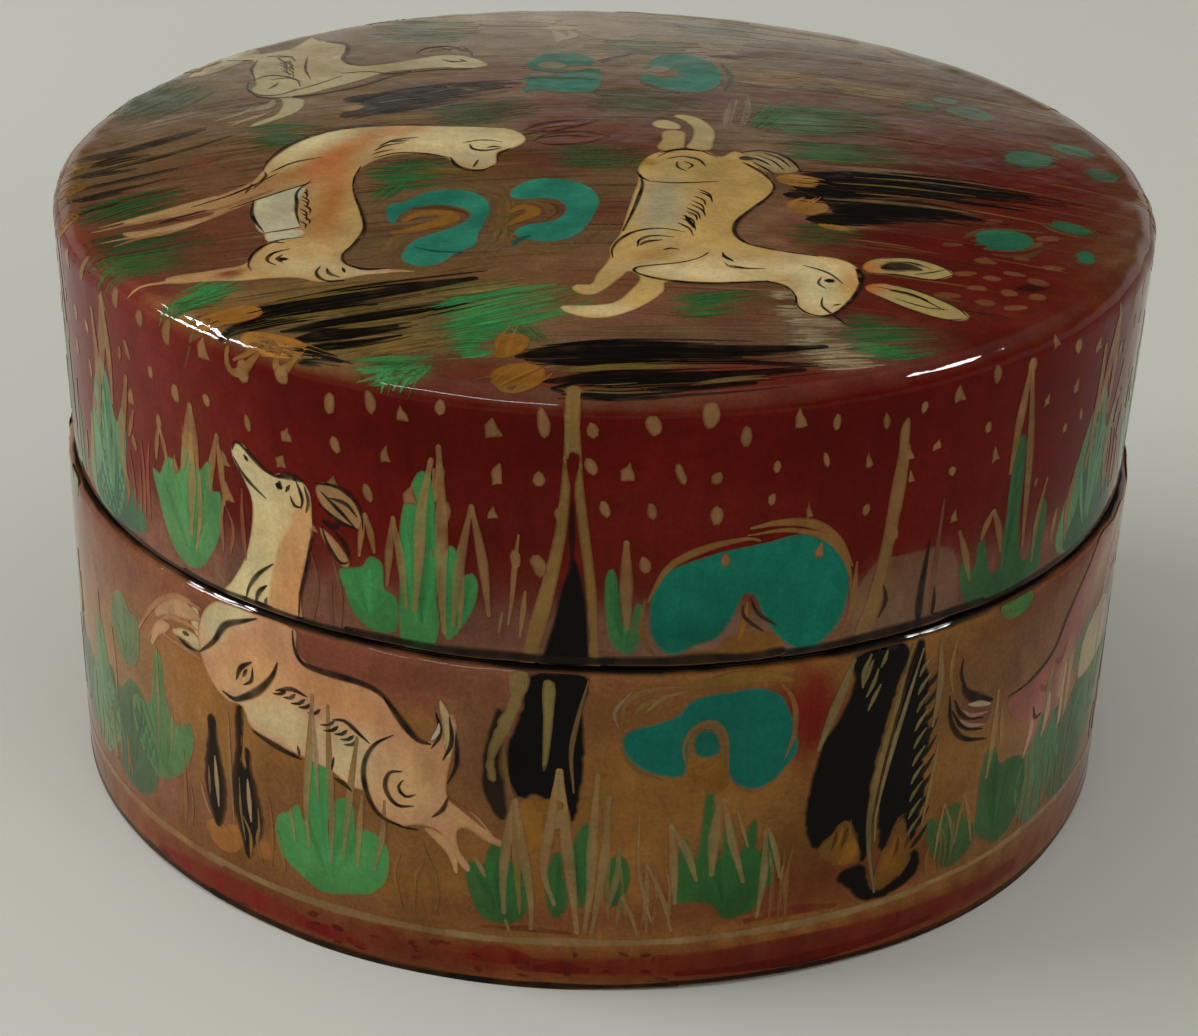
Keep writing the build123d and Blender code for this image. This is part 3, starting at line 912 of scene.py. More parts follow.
def foliage():
    """Dark feathery plants, each spraying from an ochre bulb."""
    for spine, width in (
        ([(18.8, -1.2), (23, -1.6), (30, -2), (40, -4)], 5.0),
        ([(18.4, -3.8), (22, -4.2), (28, -4.6)], 4.6),
        ([(17.4, -6), (20, -6.2), (24.6, -6)], 2.6),
        ([(24, -4.4), (31, -5), (38, -6.6)], 1.5),
        ([(20.8, -7.8), (25, -8.2), (30, -8.6), (35, -10)], 3.8),
        ([(21.6, -9.6), (26, -9.9), (31.6, -10.2)], 2.4),
        ([(19.2, -11.8), (22, -11.6), (27, -11.2)], 2.8),
    ):
        feather(TOP, spine, width, bristly=True)
    patch("pale", (19, 1.8), (37, -0.4), (0.8, 2.0), STONE, 0.35, 3)
    for points, width in (
        ([(22, -2.6), (28, -2.9), (35, -4.2)], 0.5),
        ([(21, -6.7), (27, -6.9), (34, -8.2)], 0.9),
        ([(24, -4.9), (29, -5.3), (33, -6)], 0.4),
        ([(24, -0.9), (30, -1.2), (37, -2.6)], 0.4),
    ):
        stroke(TOP, "pale", points, width, colour("6b5a36"), 7, 0.4, 0.2, cover=0.8, dry=0.4)
    for place, size, turn in (
        ((18.9, -2.4), (2.0, 1.6), -12),
        ((19.4, -8.8), (2.0, 1.9), 60),
        ((21.6, -13.4), (1.5, 0.6), -15),
    ):
        bulb(place, size, turn, colour("8a6230"))
    # spine, width, pale streak
    front = [
        ([(-5.4, -42.6), (0, -41), (6, -40.4), (12, -40.2), (20, -38.6)], 3.6, None),
        ([(-4.6, -43), (1, -42.4), (7, -41.6), (12, -41.4)], 2.8, None),
        ([(6, -43), (12, -42.2), (19, -42.2)], 0.7, None),
        ([(-3, -47), (2, -46), (8, -45.4), (13, -44.4), (18, -43)], 2.8, None),
        ([(-2.4, -48.2), (3, -47.8), (9, -46.8), (14, -45.8)], 3.0, colour("6d6031")),
    ]
    for spine, width, streak in front:
        feather(TOP, spine, width, BLACK, streak, True)
    patch("pale", (-3, -45.2), (10, -43.2), (0.5, 1.2), colour("6a5b26"), 0.8, 5)
    patch("pale", (8, -47), (16, -44.4), (0.6, 1.0), colour("63532c"), 0.7, 5)
    patch("pale", (-2, -37.4), (22, -35.6), (1.0, 3.4), colour("5e4c33"), 0.45, 2)
    bulb((-5.8, -40.4), (2.6, 1.4), 80, colour("7e551e"))
    bulb((-5, -46.2), (2.7, 2.3), 50, colour("7e551e"))
    left = [
        ([(-28.6, -36.6), (-25, -34), (-20, -31.6), (-15.4, -29.6), (-9, -27)], 3.5, None),
        ([(-29.6, -39.2), (-26, -36.8), (-22, -34.9), (-17, -32.8)], 2.4, colour("6a5a30")),
        ([(-24.6, -38.6), (-20, -36.8), (-14, -34.4), (-9.6, -32.4)], 2.0, None),
        ([(-23.4, -40), (-19, -38.6), (-15, -37)], 2.4, None),
        ([(-23, -42), (-18.6, -40.6), (-14.6, -38.8)], 1.6, None),
        ([(-23.6, -42.4), (-21, -43), (-19, -44)], 1.6, None),
    ]
    for spine, width, streak in left:
        feather(TOP, spine, width, BLACK, streak, True)
    for start, end, widths in (
        ((-26, -36.6), (-14, -32), (0.8, 1.3)),
        ((-22, -38), (-10, -33.4), (0.7, 1.3)),
        ((-14.5, -31), (-4, -27.4), (1.6, 2.2)),
        ((-18, -42.8), (-9, -38.6), (1.6, 2.8)),
        ((-27, -33.6), (-15, -28.6), (0.6, 0.9)),
    ):
        patch("pale", start, end, widths, colour("6d5a30"), 0.75, 5)
    bulb((-29, -35.6), (3.0, 1.6), 35, colour("94642a"))
    bulb((-25, -40.6), (3.2, 1.7), -28, colour("94642a"))
    smoky = colour("1b1712")
    for spine, width in (
        ([(-47.5, -0.6), (-44, 0.8), (-40.6, 3.6), (-36, 8)], 1.9),
        ([(-45.4, -2.4), (-43, -0.4), (-40.4, 1)], 1.8),
        ([(-48.6, -6.6), (-44, -3.2), (-38, 1.4), (-33.4, 6)], 0.9),
        ([(-46, -5), (-43, -3.6), (-41, -2.6)], 1.3),
        ([(-47.4, -9.2), (-43.4, -6.6), (-37.4, -2.6)], 0.8),
        ([(-48.2, -12), (-44.6, -9.8), (-41, -7.4), (-38, -5.2)], 1.0),
        ([(-45.6, -10.8), (-43.4, -9.8), (-41.6, -8.8)], 1.1),
        ([(-46, -14.6), (-43, -12.4), (-40.8, -10.6)], 0.6),
        ([(-37.4, -16), (-35, -14), (-32, -11.4)], 0.8),
    ):
        feather(TOP, spine, width * 0.8, smoky, None, True, 2, 0.75)
    for place, size in (
        ((-47.4, -2.6), (1.5, 1.3)),
        ((-46.4, -7.8), (1.7, 1.3)),
        ((-45.8, -14.6), (1.5, 1.0)),
    ):
        bulb(place, size, 50, colour("6e4d1e"), 3)
    for spine, width in (
        ([(-23.8, 11.6), (-20, 15), (-15.6, 18.4), (-8.6, 21.8)], 3.8),
        ([(-22.6, 16), (-19, 18.6), (-14, 20.8), (-7, 23)], 2.6),
        ([(-24, 16.6), (-21.6, 17.2), (-19, 18)], 2.2),
        ([(-21, 12.8), (-16.6, 15.6), (-12.4, 18)], 2.4),
    ):
        feather(TOP, spine, width, colour("1d1914"), None, True, 2, 0.8)
    for points in ([(-21, 15.4), (-18, 17), (-16, 17.4)], [(-16.6, 18.4), (-13.6, 20.4), (-10.6, 21)]):
        stroke(TOP, "pale", points, 0.5, colour("4a4636"), 6)
    bulb((-22.9, 14.2), (1.4, 0.9), 40, colour("77633d"))


def ragged_drop(place, size, turn, paint, cover):
    """A teal leaf of a few dabs, on a dark smear."""
    angle = math.radians(turn)
    way = np.array([math.cos(angle), math.sin(angle)]) * size[0]
    place = np.array(place, float)
    bristles(TOP, "green", [place - way * 1.5, place, place + way * 1.5], (size[1], size[1] * 3, size[1]), 4,
             OLIVE, 2, 1.0, 0.4, 0.2, 0.7)
    blot(TOP, "teal", place, (size[0] * 0.8, size[1] * 0.8), paint, 3, turn, cover)
    bristles(TOP, "teal", [place - way, place, place + way], (size[1], size[1] * 1.8, size[1] * 0.6), 4,
             paint, 4, 0.9, 0.3, 0.12, cover)


def greenery():
    """Green dry-brush patches between the figures."""
    for start, end, widths, paint, cover in TOP_GREENS:
        start, end = np.array(start, float), np.array(end, float)
        more = (end - start) * 0.16
        patch("green", start - more, end + more, (widths[0] * 1.25, widths[1] * 1.25), paint * 0.75,
              cover)
    for start, end, widths, paint, cover in TOP_EARTHS:
        patch("earths", start, end, widths, paint, cover, 1)
    drop = colour("1f5a45")
    for place, size, turn, paint, cover in (
        ((36.6, -14.8), (3.1, 3.1), 20, drop, 0.9),
        ((41, 6.4), (2.9, 2.5), -10, colour("2f5a46"), 0.85),
        ((45.4, 9.6), (2.8, 1.5), -40, colour("3c5c4c"), 0.75),
        ((47.4, 3.2), (1.6, 2.3), 30, colour("385545"), 0.7),
        ((42.8, -10.8), (2.4, 1.4), -35, colour("26583e"), 0.85),
        ((43.4, -17.6), (1.0, 1.9), 0, drop, 0.85),
        ((36.6, 19), (3.6, 1.9), -42, colour("4c6152"), 0.75),
        ((31.8, 20.2), (2.0, 1.7), -20, colour("42563f"), 0.7),
        ((34.4, 22.4), (1.8, 1.2), -30, colour("4d6350"), 0.6),
    ):
        ragged_drop(place, size, turn, paint, cover)
    for place in ((32.4, -22.6), (34.6, -23.4), (36.6, -22.2), (38.6, -23.8), (33.2, -25.6), (35.8, -26.4),
                  (38.2, -27), (30.6, -27.4), (33.6, -28.6), (36, -29.4), (40.2, -20.4), (37.6, -18.6),
                  (34.4, -19.6), (31.8, -16.2), (36, -10.2), (40.4, -13.6)):
        blot(TOP, "gold", place, (chance.uniform(0.7, 1.4), chance.uniform(0.5, 0.8)),
             tinted(colour("70482f"), 0.15), 3, chance.uniform(-30, 30), 0.7)
    patch("black", (36.2, -25.6), (39.4, -24.2), (1.2, 1.6), SOOT, 0.7, 3)


def running_deer():
    """The deer at the left of the top, head turned back to the middle."""
    outline = [(-6.1, 5.6), (-6.3, 7.2), (-7.6, 8.8), (-10, 9.3), (-15, 9.5), (-20, 9), (-24, 7.5),
               (-27, 4.4), (-29, 0), (-29.7, -3.4), (-30.4, -6), (-33, -9.4), (-37, -13), (-40.6, -15.6),
               (-40, -16.2), (-36, -14.4), (-33, -13), (-35.4, -15.6), (-38.6, -17.6), (-40.2, -18.2),
               (-39.8, -19), (-37, -18.8), (-33.4, -15.4), (-30.6, -12), (-29.6, -11), (-29.3, -14),
               (-28.3, -17.4), (-27.5, -19.8), (-28.4, -22.8), (-29, -24.8), (-31.4, -26.2), (-35.2, -28),
               (-34.6, -29.2), (-31.4, -28.6), (-28.8, -28.4), (-26.6, -27.8), (-24.2, -27.6), (-22.4, -28.4),
               (-20.6, -27.9), (-18.4, -26.7), (-16.4, -26.2), (-16.6, -25.4), (-19, -25.4), (-20.6, -24.2),
               (-20.7, -22.4), (-19.9, -20), (-19.3, -17), (-19.9, -13), (-20.7, -9), (-21.1, -5),
               (-20.5, -1.8), (-18.8, 0.6), (-16.6, 1.7), (-14.4, 1.5), (-12.5, 0), (-11.9, -1.5),
               (-10.4, -2.4), (-9, -1.8), (-8.5, 0.2), (-8.5, 2.4), (-7, 3.8)]
    hide = dabs(colour("a08458"), [
        (-12, 6, 8, 4, 0, CREAM, 0.9),
        (-10.5, 1, 2, 4, 80, colour("a89b7c"), 0.9),
        (-26, 4.4, 7, 3.2, 58, CREAM, 0.95),
        (-17.4, 8, 2.6, 1.4, 40, colour("a57d51"), 0.8),
        (-21.8, 3.9, 6, 1.3, 60, ORANGE, 0.65),
        (-24.2, -1.5, 5, 2.0, 75, colour("9f5e34"), 0.9),
        (-22.4, -7, 7, 1.6, 92, colour("9c6238"), 0.85),
        (-23, -14, 7, 1.8, 88, colour("94632f"), 0.8),
        (-20.6, -12, 9, 1.0, 92, colour("a08556"), 0.8),
        (-24.5, -21, 3, 2.5, 0, colour("ae8f60"), 0.85),
        (-23, -25, 4, 2, 0, CREAM, 0.5),
        (-28.5, -6, 5, 1.6, 50, colour("8a5f3b"), 0.8),
        (-33, -11.5, 7, 1.6, 42, colour("8c6b49"), 0.8),
        (-36, -17, 5, 1.4, 40, colour("8f7250"), 0.8),
        (-30.6, -13, 3, 1.2, 42, colour("7d4e34"), 0.8),
        (-32, -27, 4, 1.3, 25, colour("a17650"), 0.8),
        (-30, -26.8, 1.4, 0.9, 40, colour("6f2f17"), 0.9),
        (-18, -26, 3, 1.0, 15, colour("a99c7a"), 0.7),
    ])
    fill(TOP, "deer", outline, hide, 4, cell=0.9)
    for points, paint in (
        ([(-33, -9.4), (-37.4, -13.2), (-42.4, -17)], colour("a1805a")),
        ([(-36, -13.6), (-39, -15.6), (-43, -18.2)], colour("8f6d4b")),
        ([(-34, -15.8), (-38, -18.4), (-41.8, -20.6)], colour("a1805a")),
        ([(-35.4, -17.4), (-38.6, -19.4), (-40.6, -21.4)], colour("8a5f42")),
        ([(-31, -27), (-34.8, -28.8), (-38.4, -30.4)], colour("a8835a")),
        ([(-29, -25.6), (-31.4, -26.6), (-34.4, -28)], colour("a1805a")),
        ([(-28, -7.6), (-31.6, -11.6), (-36, -15)], colour("7a5038")),
        ([(-19, -26), (-16.4, -25.8), (-14.4, -25.9)], colour("a1805a")),
    ):
        stroke(TOP, "deer", points, 0.8, paint, 5, 0.3, 0.15, cover=0.85)
    belly = [(-29.4, -10.2), (-27.6, -8.2), (-25.6, -7), (-25.5, -9), (-26, -11.6), (-25.4, -14.4),
             (-25, -16.4), (-27.9, -17.9), (-29.2, -14.4)]
    fill(TOP, "deer", belly, dabs(PALE, [(-27, -12, 3, 1.4, 80, colour("9a957a"), 0.6)]), 5)
    fill(TOP, "deer", [(-27.8, -18.1), (-25.2, -16.9), (-24.5, -18), (-27, -19.9)], PALE, 5)
    lines(TOP, 0.62, SEPIA,
          [(-8.4, 9.1), (-13, 9.4), (-20, 9.1), (-24.6, 7.4), (-27.8, 3.8), (-29.4, -0.6), (-29.6, -3.4)],
          [(-29.4, -3.4), (-29.2, -4.6), (-30, -7.6)], layer=6)
    line(TOP, [(-18.6, 9.3), (-16, 9.5), (-11, 9.3)], 0.9, SEPIA, 6)
    line(TOP, [(-12.8, 0.8), (-12.2, -1.1), (-11, -2.3), (-9.6, -2.2), (-8.7, -1)], 0.95, INK, 6)
    line(TOP, [(-8.5, 0), (-8.4, 2), (-7.4, 3.6)], 0.4, SEPIA, 6)
    lines(TOP, 0.42, SEPIA, [(-20, 0.2), (-17.6, 1.8), (-15, 1.7), (-12.6, 0.6)],
          [(-24.6, 0.4), (-27, -1), (-28.9, -3.6)], [(-10.2, 0.4), (-10.6, -1.6)],
          [(-11.9, 4.8), (-10, 5.6), (-8.2, 5.2)], [(-30.2, -6.4), (-30.6, -8.8)],
          [(-24.8, -5.8), (-27.6, -8.4), (-31.6, -12.4)], [(-28.2, -3.8), (-31.4, -8.6), (-35, -12.2)],
          layer=6)
    line(TOP, [(-11.2, 4.4), (-10.8, 3.1), (-9.6, 2.8), (-8.2, 3.6)], 0.8, INK, 6)
    line(TOP, [(-9.6, 3.5), (-9, 3.9), (-8.3, 3.7)], 0.7, INK, 6)
    lines(TOP, 0.55, SEPIA, [(-16, 6.1), (-18.2, 5.2), (-19.6, 3.4)],
          [(-17.2, 4.6), (-19, 3.6), (-19.9, 2.2)], [(-18.2, 2.7), (-19.4, 1.9), (-20, 1.2)],
          [(-16.8, 5.3), (-18.6, 4.6)], layer=6)
    line(TOP, [(-20.8, -1.8), (-21.2, -5), (-20.9, -8.4), (-20, -12.6), (-19.4, -16.6), (-20, -20),
               (-20.8, -22.6), (-20.4, -24.4), (-19, -25.5), (-17.2, -25.4)], 0.62, INK, 6, 0.6, 0.5)
    line(TOP, [(-20, -24.8), (-18.6, -25.6), (-16.6, -25.3)], 0.75, INK, 6)
    line(TOP, [(-29.7, -10.4), (-29.4, -14), (-28, -17.8)], 0.55, INK, 6)
    lines(TOP, 0.4, INK, [(-28, -17.9), (-26.4, -17.2), (-24.9, -16.4)], [(-27.4, -19.8), (-26, -20)],
          layer=6)
    line(TOP, [(-25, -5.4), (-26, -8.2), (-25.8, -11), (-25.6, -13.4), (-25, -16.2)], 0.6, INK, 6)
    hatches(TOP, (-25.8, -7), (-25, -15.2), (0.35, -1), 2.2, 9, 0.34)
    lines(TOP, 0.6, INK, [(-24.4, -18.6), (-27, -19.8), (-28.4, -22.4), (-28.6, -25), (-28.2, -26.2)],
          [(-25.4, -21.3), (-26.8, -22.4), (-27.1, -24), (-26.2, -25)],
          [(-25.9, -22.6), (-26.3, -23.6), (-25.7, -24.4)],
          [(-22.5, -25), (-22.7, -26.6), (-21.8, -28.1), (-20.2, -28)],
          [(-21.9, -25.4), (-21.6, -26.6), (-20.6, -27.4)], [(-20.6, -25.2), (-20.3, -26.4)], layer=6)
    blot(TOP, "ink", (-25.8, -23.6), (0.5, 0.45), INK, 6)
    for ear in ([(-6.4, 8.6), (-4.6, 10.4), (-2, 11.8), (0.7, 12.2), (-1.4, 10.2), (-4, 8.4)],
                [(-5.4, 5.6), (-4, 7.6), (-1, 8.6), (1.7, 7.6), (-0.4, 5.6), (-3.6, 4.8)]):
        fill(TOP, "ears", ear, colour("5e3a2c"), 3)
        ring = ear + ear[:1]
        line(TOP, ring[:4], 0.7, WINE, 5)
        line(TOP, ring[3:], 0.8, WINE, 5)
    lines(TOP, 0.5, WINE, [(-6, 9.8), (-3.4, 11.4), (-0.6, 11.6)], [(-5.6, 8.6), (-3.4, 9.8), (-1.4, 10.4)],
          [(-5, 6.4), (-2.6, 7.3), (0.4, 7.2)], [(-6.4, 7.2), (-5.2, 8.2), (-4.2, 9)])
    line(TOP, [(-4.6, 9.7), (-3, 10.6), (-1.6, 10.9)], 0.3, colour("8a6a52"), 5)


def running_hare():
    """The animal right of the middle, upside down as it runs round the lid."""
    body = [(4.4, -1), (5, 1.6), (6.2, 3.5), (8.5, 4.6), (10.8, 4.2), (12, 3.0), (13.4, 4.6), (14.4, 3.2),
            (15.3, 1), (16.2, -1.4), (16.7, -4), (16.2, -6.4), (14.8, -9.4), (13.3, -12.2), (12.8, -15),
            (13.4, -17.2), (15.6, -18.9), (19, -20), (21.6, -20.6), (23, -22), (23.5, -24.6), (22.9, -27.2),
            (21.9, -30), (20.6, -32.2), (18.9, -32.8), (17.7, -31.4), (17.5, -28.8), (16.8, -26.9),
            (15.4, -26.1), (12.8, -26.5), (10, -27), (7, -26.8), (6.6, -29), (5.2, -31.6), (3.2, -33.8),
            (1, -34.8), (-1.3, -33.9), (-1.9, -32.6), (0.2, -32.3), (2.4, -31.6), (3.8, -29), (4.6, -26.3),
            (3.8, -25), (3.1, -26.2), (1.6, -29), (0.4, -30.2), (-1, -29.2), (-0.7, -28), (0.4, -28),
            (0.9, -26), (2, -22.2), (2, -20), (2.8, -17), (3.3, -13), (3.9, -8), (4.4, -4)]
    hide = dabs(TAN, [
        (12, -8, 10, 3, 85, colour("9f8350"), 0.8),
        (6.5, -10, 8, 2.2, 86, colour("918c74"), 0.95),
        (9, 0, 4, 3.5, 0, colour("95804f"), 0.8),
        (5, 0.8, 1.2, 1, 0, OCHRE, 0.8),
        (6, -22, 4, 3, 0, colour("9c7f4b"), 0.7),
        (5.5, -21.4, 1.4, 1, 0, colour("935f33"), 0.5),
        (9, -24.8, 6, 1.8, -8, CREAM, 0.9),
        (16, -22.4, 7, 2.6, -8, CREAM, 0.85),
        (19.6, -27.6, 2.2, 5.2, 0, CREAM, 0.95),
        (22.4, -26, 1, 2.6, 0, PEACH, 0.8),
        (14, -20.5, 4, 1.8, 0, colour("9b7e4b"), 0.7),
        (2, -27, 1.6, 4, -20, colour("9b8556"), 0.8),
        (1.5, -33, 3, 1.5, 0, CREAM, 0.8),
        (15.6, -4, 1, 5, 0, colour("8b7242"), 0.5),
    ])
    fill(TOP, "hare", body, hide, 4, cell=0.9)
    for stub, shade in (
        ([(6.9, 9.6), (8.6, 9.6), (8.8, 7.6), (8.3, 4.5), (6.3, 4.4), (6.6, 7)], colour("978153")),
        ([(5.9, 12.2), (7, 12.8), (8.3, 11.5), (8.3, 10.3), (6.6, 10.3), (5.8, 11)], colour("9d8d64")),
        (
            [(7.8, 14.2), (9.2, 14.4), (10.6, 13), (11.6, 10), (11.4, 6.6), (11, 4.7), (9, 4.8), (9.4, 7.4),
             (9.6, 10.4), (8.9, 12.6)],
            colour("9b8a5f"),
        ),
    ):
        fill(TOP, "hare", stub, shade, 3)
    tail = [(13.6, 3.2), (15, 5), (17, 4.6), (18.8, 2.6), (19.2, 0.2), (17, -0.8), (15, 0.4)]
    fill(TOP, "hare", tail, dabs(colour("7c6a48"), [(16.6, 2, 2, 1, -50, CREAM, 0.4)]), 3)
    for ear, hollow in (
        (
            [(23.6, -22.2), (25, -20.2), (28, -19.8), (30.4, -21.2), (31.4, -23), (29.6, -24.3),
             (26.8, -23.6), (24.4, -23.4)],
            [(25.2, -22.4), (27, -21.7), (28.8, -22.4)],
        ),
        (
            [(23.6, -26.4), (25.4, -25.6), (28, -26.8), (31, -29.8), (32, -32), (30, -32.4), (27, -30.6),
             (24.6, -28.2)],
            [(25.6, -27), (27, -27.4), (28.8, -28.8)],
        ),
    ):
        fill(TOP, "hare", ear, dabs(colour("8f7f52"), [(*ear[0], 2, 1.4, 0, ORANGE, 0.9)]), 4)
        if hollow[0][1] > -24:
            stroke(TOP, "ink", hollow, 2.3, SOOT, 6, 0.4, 0.3)
            bristles(TOP, "ink", hollow, (1.0, 2.8, 1.4), 4, SOOT, 6, 0.5, 0.4)
        else:
            line(TOP, hollow, 1.0, SOOT, 6)
        line(TOP, ear[1:5], 0.45, SEPIA, 6)
        line(TOP, ear[4:], 0.35, SEPIA, 6)
    lines(TOP, 0.36, SEPIA, [(25.6, -20.9), (28, -20.8), (29.6, -22)],
          [(28, -23.4), (29.8, -22.6), (30.8, -22)], [(26, -28.6), (28.6, -30.2), (30.4, -30.4)],
          [(24.8, -26.4), (27.4, -27.6), (30, -30.6)], layer=6)
    line(TOP, [(4.6, -2.4), (4.8, -5), (4.4, -8.6), (3.8, -12.4), (3.1, -16.2)], 0.72, INK, 6, 0.4, 0.5)
    lines(TOP, 0.6, INK, [(8.6, -16), (6.6, -15.3), (4.4, -16), (2.9, -18), (2.2, -20.4), (2.3, -22.2)],
          [(4.3, -1.4), (4.6, -3), (5.4, -3.9)], layer=6)
    line(TOP, [(15.8, -1), (16.7, -4), (16.1, -6.8), (14.5, -10), (13.1, -13.2), (12.9, -16), (14, -18.1),
               (17, -19.5), (20, -20.3)], 0.75, INK, 6, 0.55, 0.4)
    line(TOP, [(10.5, -20.4), (9.7, -21.6), (8, -22.8), (5.6, -23.6), (4.2, -24.3), (4.4, -25.4), (7, -26.7),
               (10.4, -27), (13.6, -26.5), (15.6, -26.1)], 0.7, INK, 6, 0.75, 0.4)
    line(TOP, [(15.2, -26.1), (16.8, -26.9), (17.6, -28.8), (17.8, -31.2), (19, -32.7), (20.4, -32.5),
               (21.8, -30.4), (22.9, -27.6), (23.4, -25), (23.3, -22.8)], 0.7, INK, 6, 0.8, 0.5)
    line(TOP, [(23.3, -25.6), (23.4, -24), (23.1, -22.6)], 1.2, INK, 6, 0.5, 0.5)
    lines(TOP, 0.42, INK, [(19.9, -29), (19.8, -30.8), (20.6, -32.4), (21.6, -34.2)],
          [(5, -4), (7.6, -4.3), (11.8, -3.5)], [(6.2, 2.4), (7.8, 4.2), (10, 4.4), (11.8, 2.6)],
          [(20.7, -30.6), (21.4, -30.2)], layer=6)
    lines(TOP, 0.75, INK, [(7, 1.8), (8.4, 2.6), (9.9, 2), (10.6, 0.2)],
          [(6.4, 3.4), (8.4, 4.6), (10.6, 4.2)], layer=6)
    lines(TOP, 0.4, SEPIA, [(8, 1.2), (8, -0.2), (8.8, -1.2)], [(8.6, 1.4), (9.4, 0.4), (8.9, -0.6)],
          [(11.6, -21), (12.6, -22.2)], [(11.8, -22.4), (12.4, -23.4), (15.4, -23.5)],
          [(12.2, -23), (14, -23.6)], [(18.6, -22.4), (20.6, -23.8), (21.8, -26)],
          [(20, -24.8), (19.7, -26.2), (20.3, -27.2)], layer=6)
    line(TOP, [(11.7, -20.2), (11.9, -21.2), (12.6, -22)], 0.6, INK, 6)
    line(TOP, [(4.4, -19.6), (4.6, -18), (5.8, -17), (7.6, -17.2)], 0.6, INK, 6)
    line(TOP, [(4.6, -19.3), (5.2, -18.4), (6.6, -17.9)], 0.8, INK, 6)
    line(TOP, [(6.6, -20.2), (7.2, -19.7), (8, -19.9)], 0.45, SEPIA, 6)
    blot(TOP, "ink", (20.7, -25.5), (0.55, 0.5), INK, 7)
    hatches(TOP, (10, -5.6), (7.9, -13.8), (0.45, -1), 2.9, 10, 0.4)
    line(TOP, [(8.6, -12), (8.9, -13.4), (9.3, -15)], 0.7, INK, 6)
    lines(TOP, 0.7, INK, [(14, 4.3), (15.8, 5.1), (17.6, 4.2), (18.9, 1.8), (19.3, -0.2)],
          [(13.8, 2.6), (15.2, 2.8), (16.6, 1.2)], [(14, 1.8), (15.6, -0.6), (16.4, -2.4)], layer=6)
    lines(TOP, 0.4, INK, [(15.4, 3.8), (16.8, 2.4), (17.8, 0)], [(16, 4.6), (17.4, 3.2), (18.4, 1)],
          [(15, 1.8), (16, 0.4), (16.8, -1)], layer=6)
    blot(TOP, "ink", (14.4, 2.8), (0.8, 0.55), INK, 6)


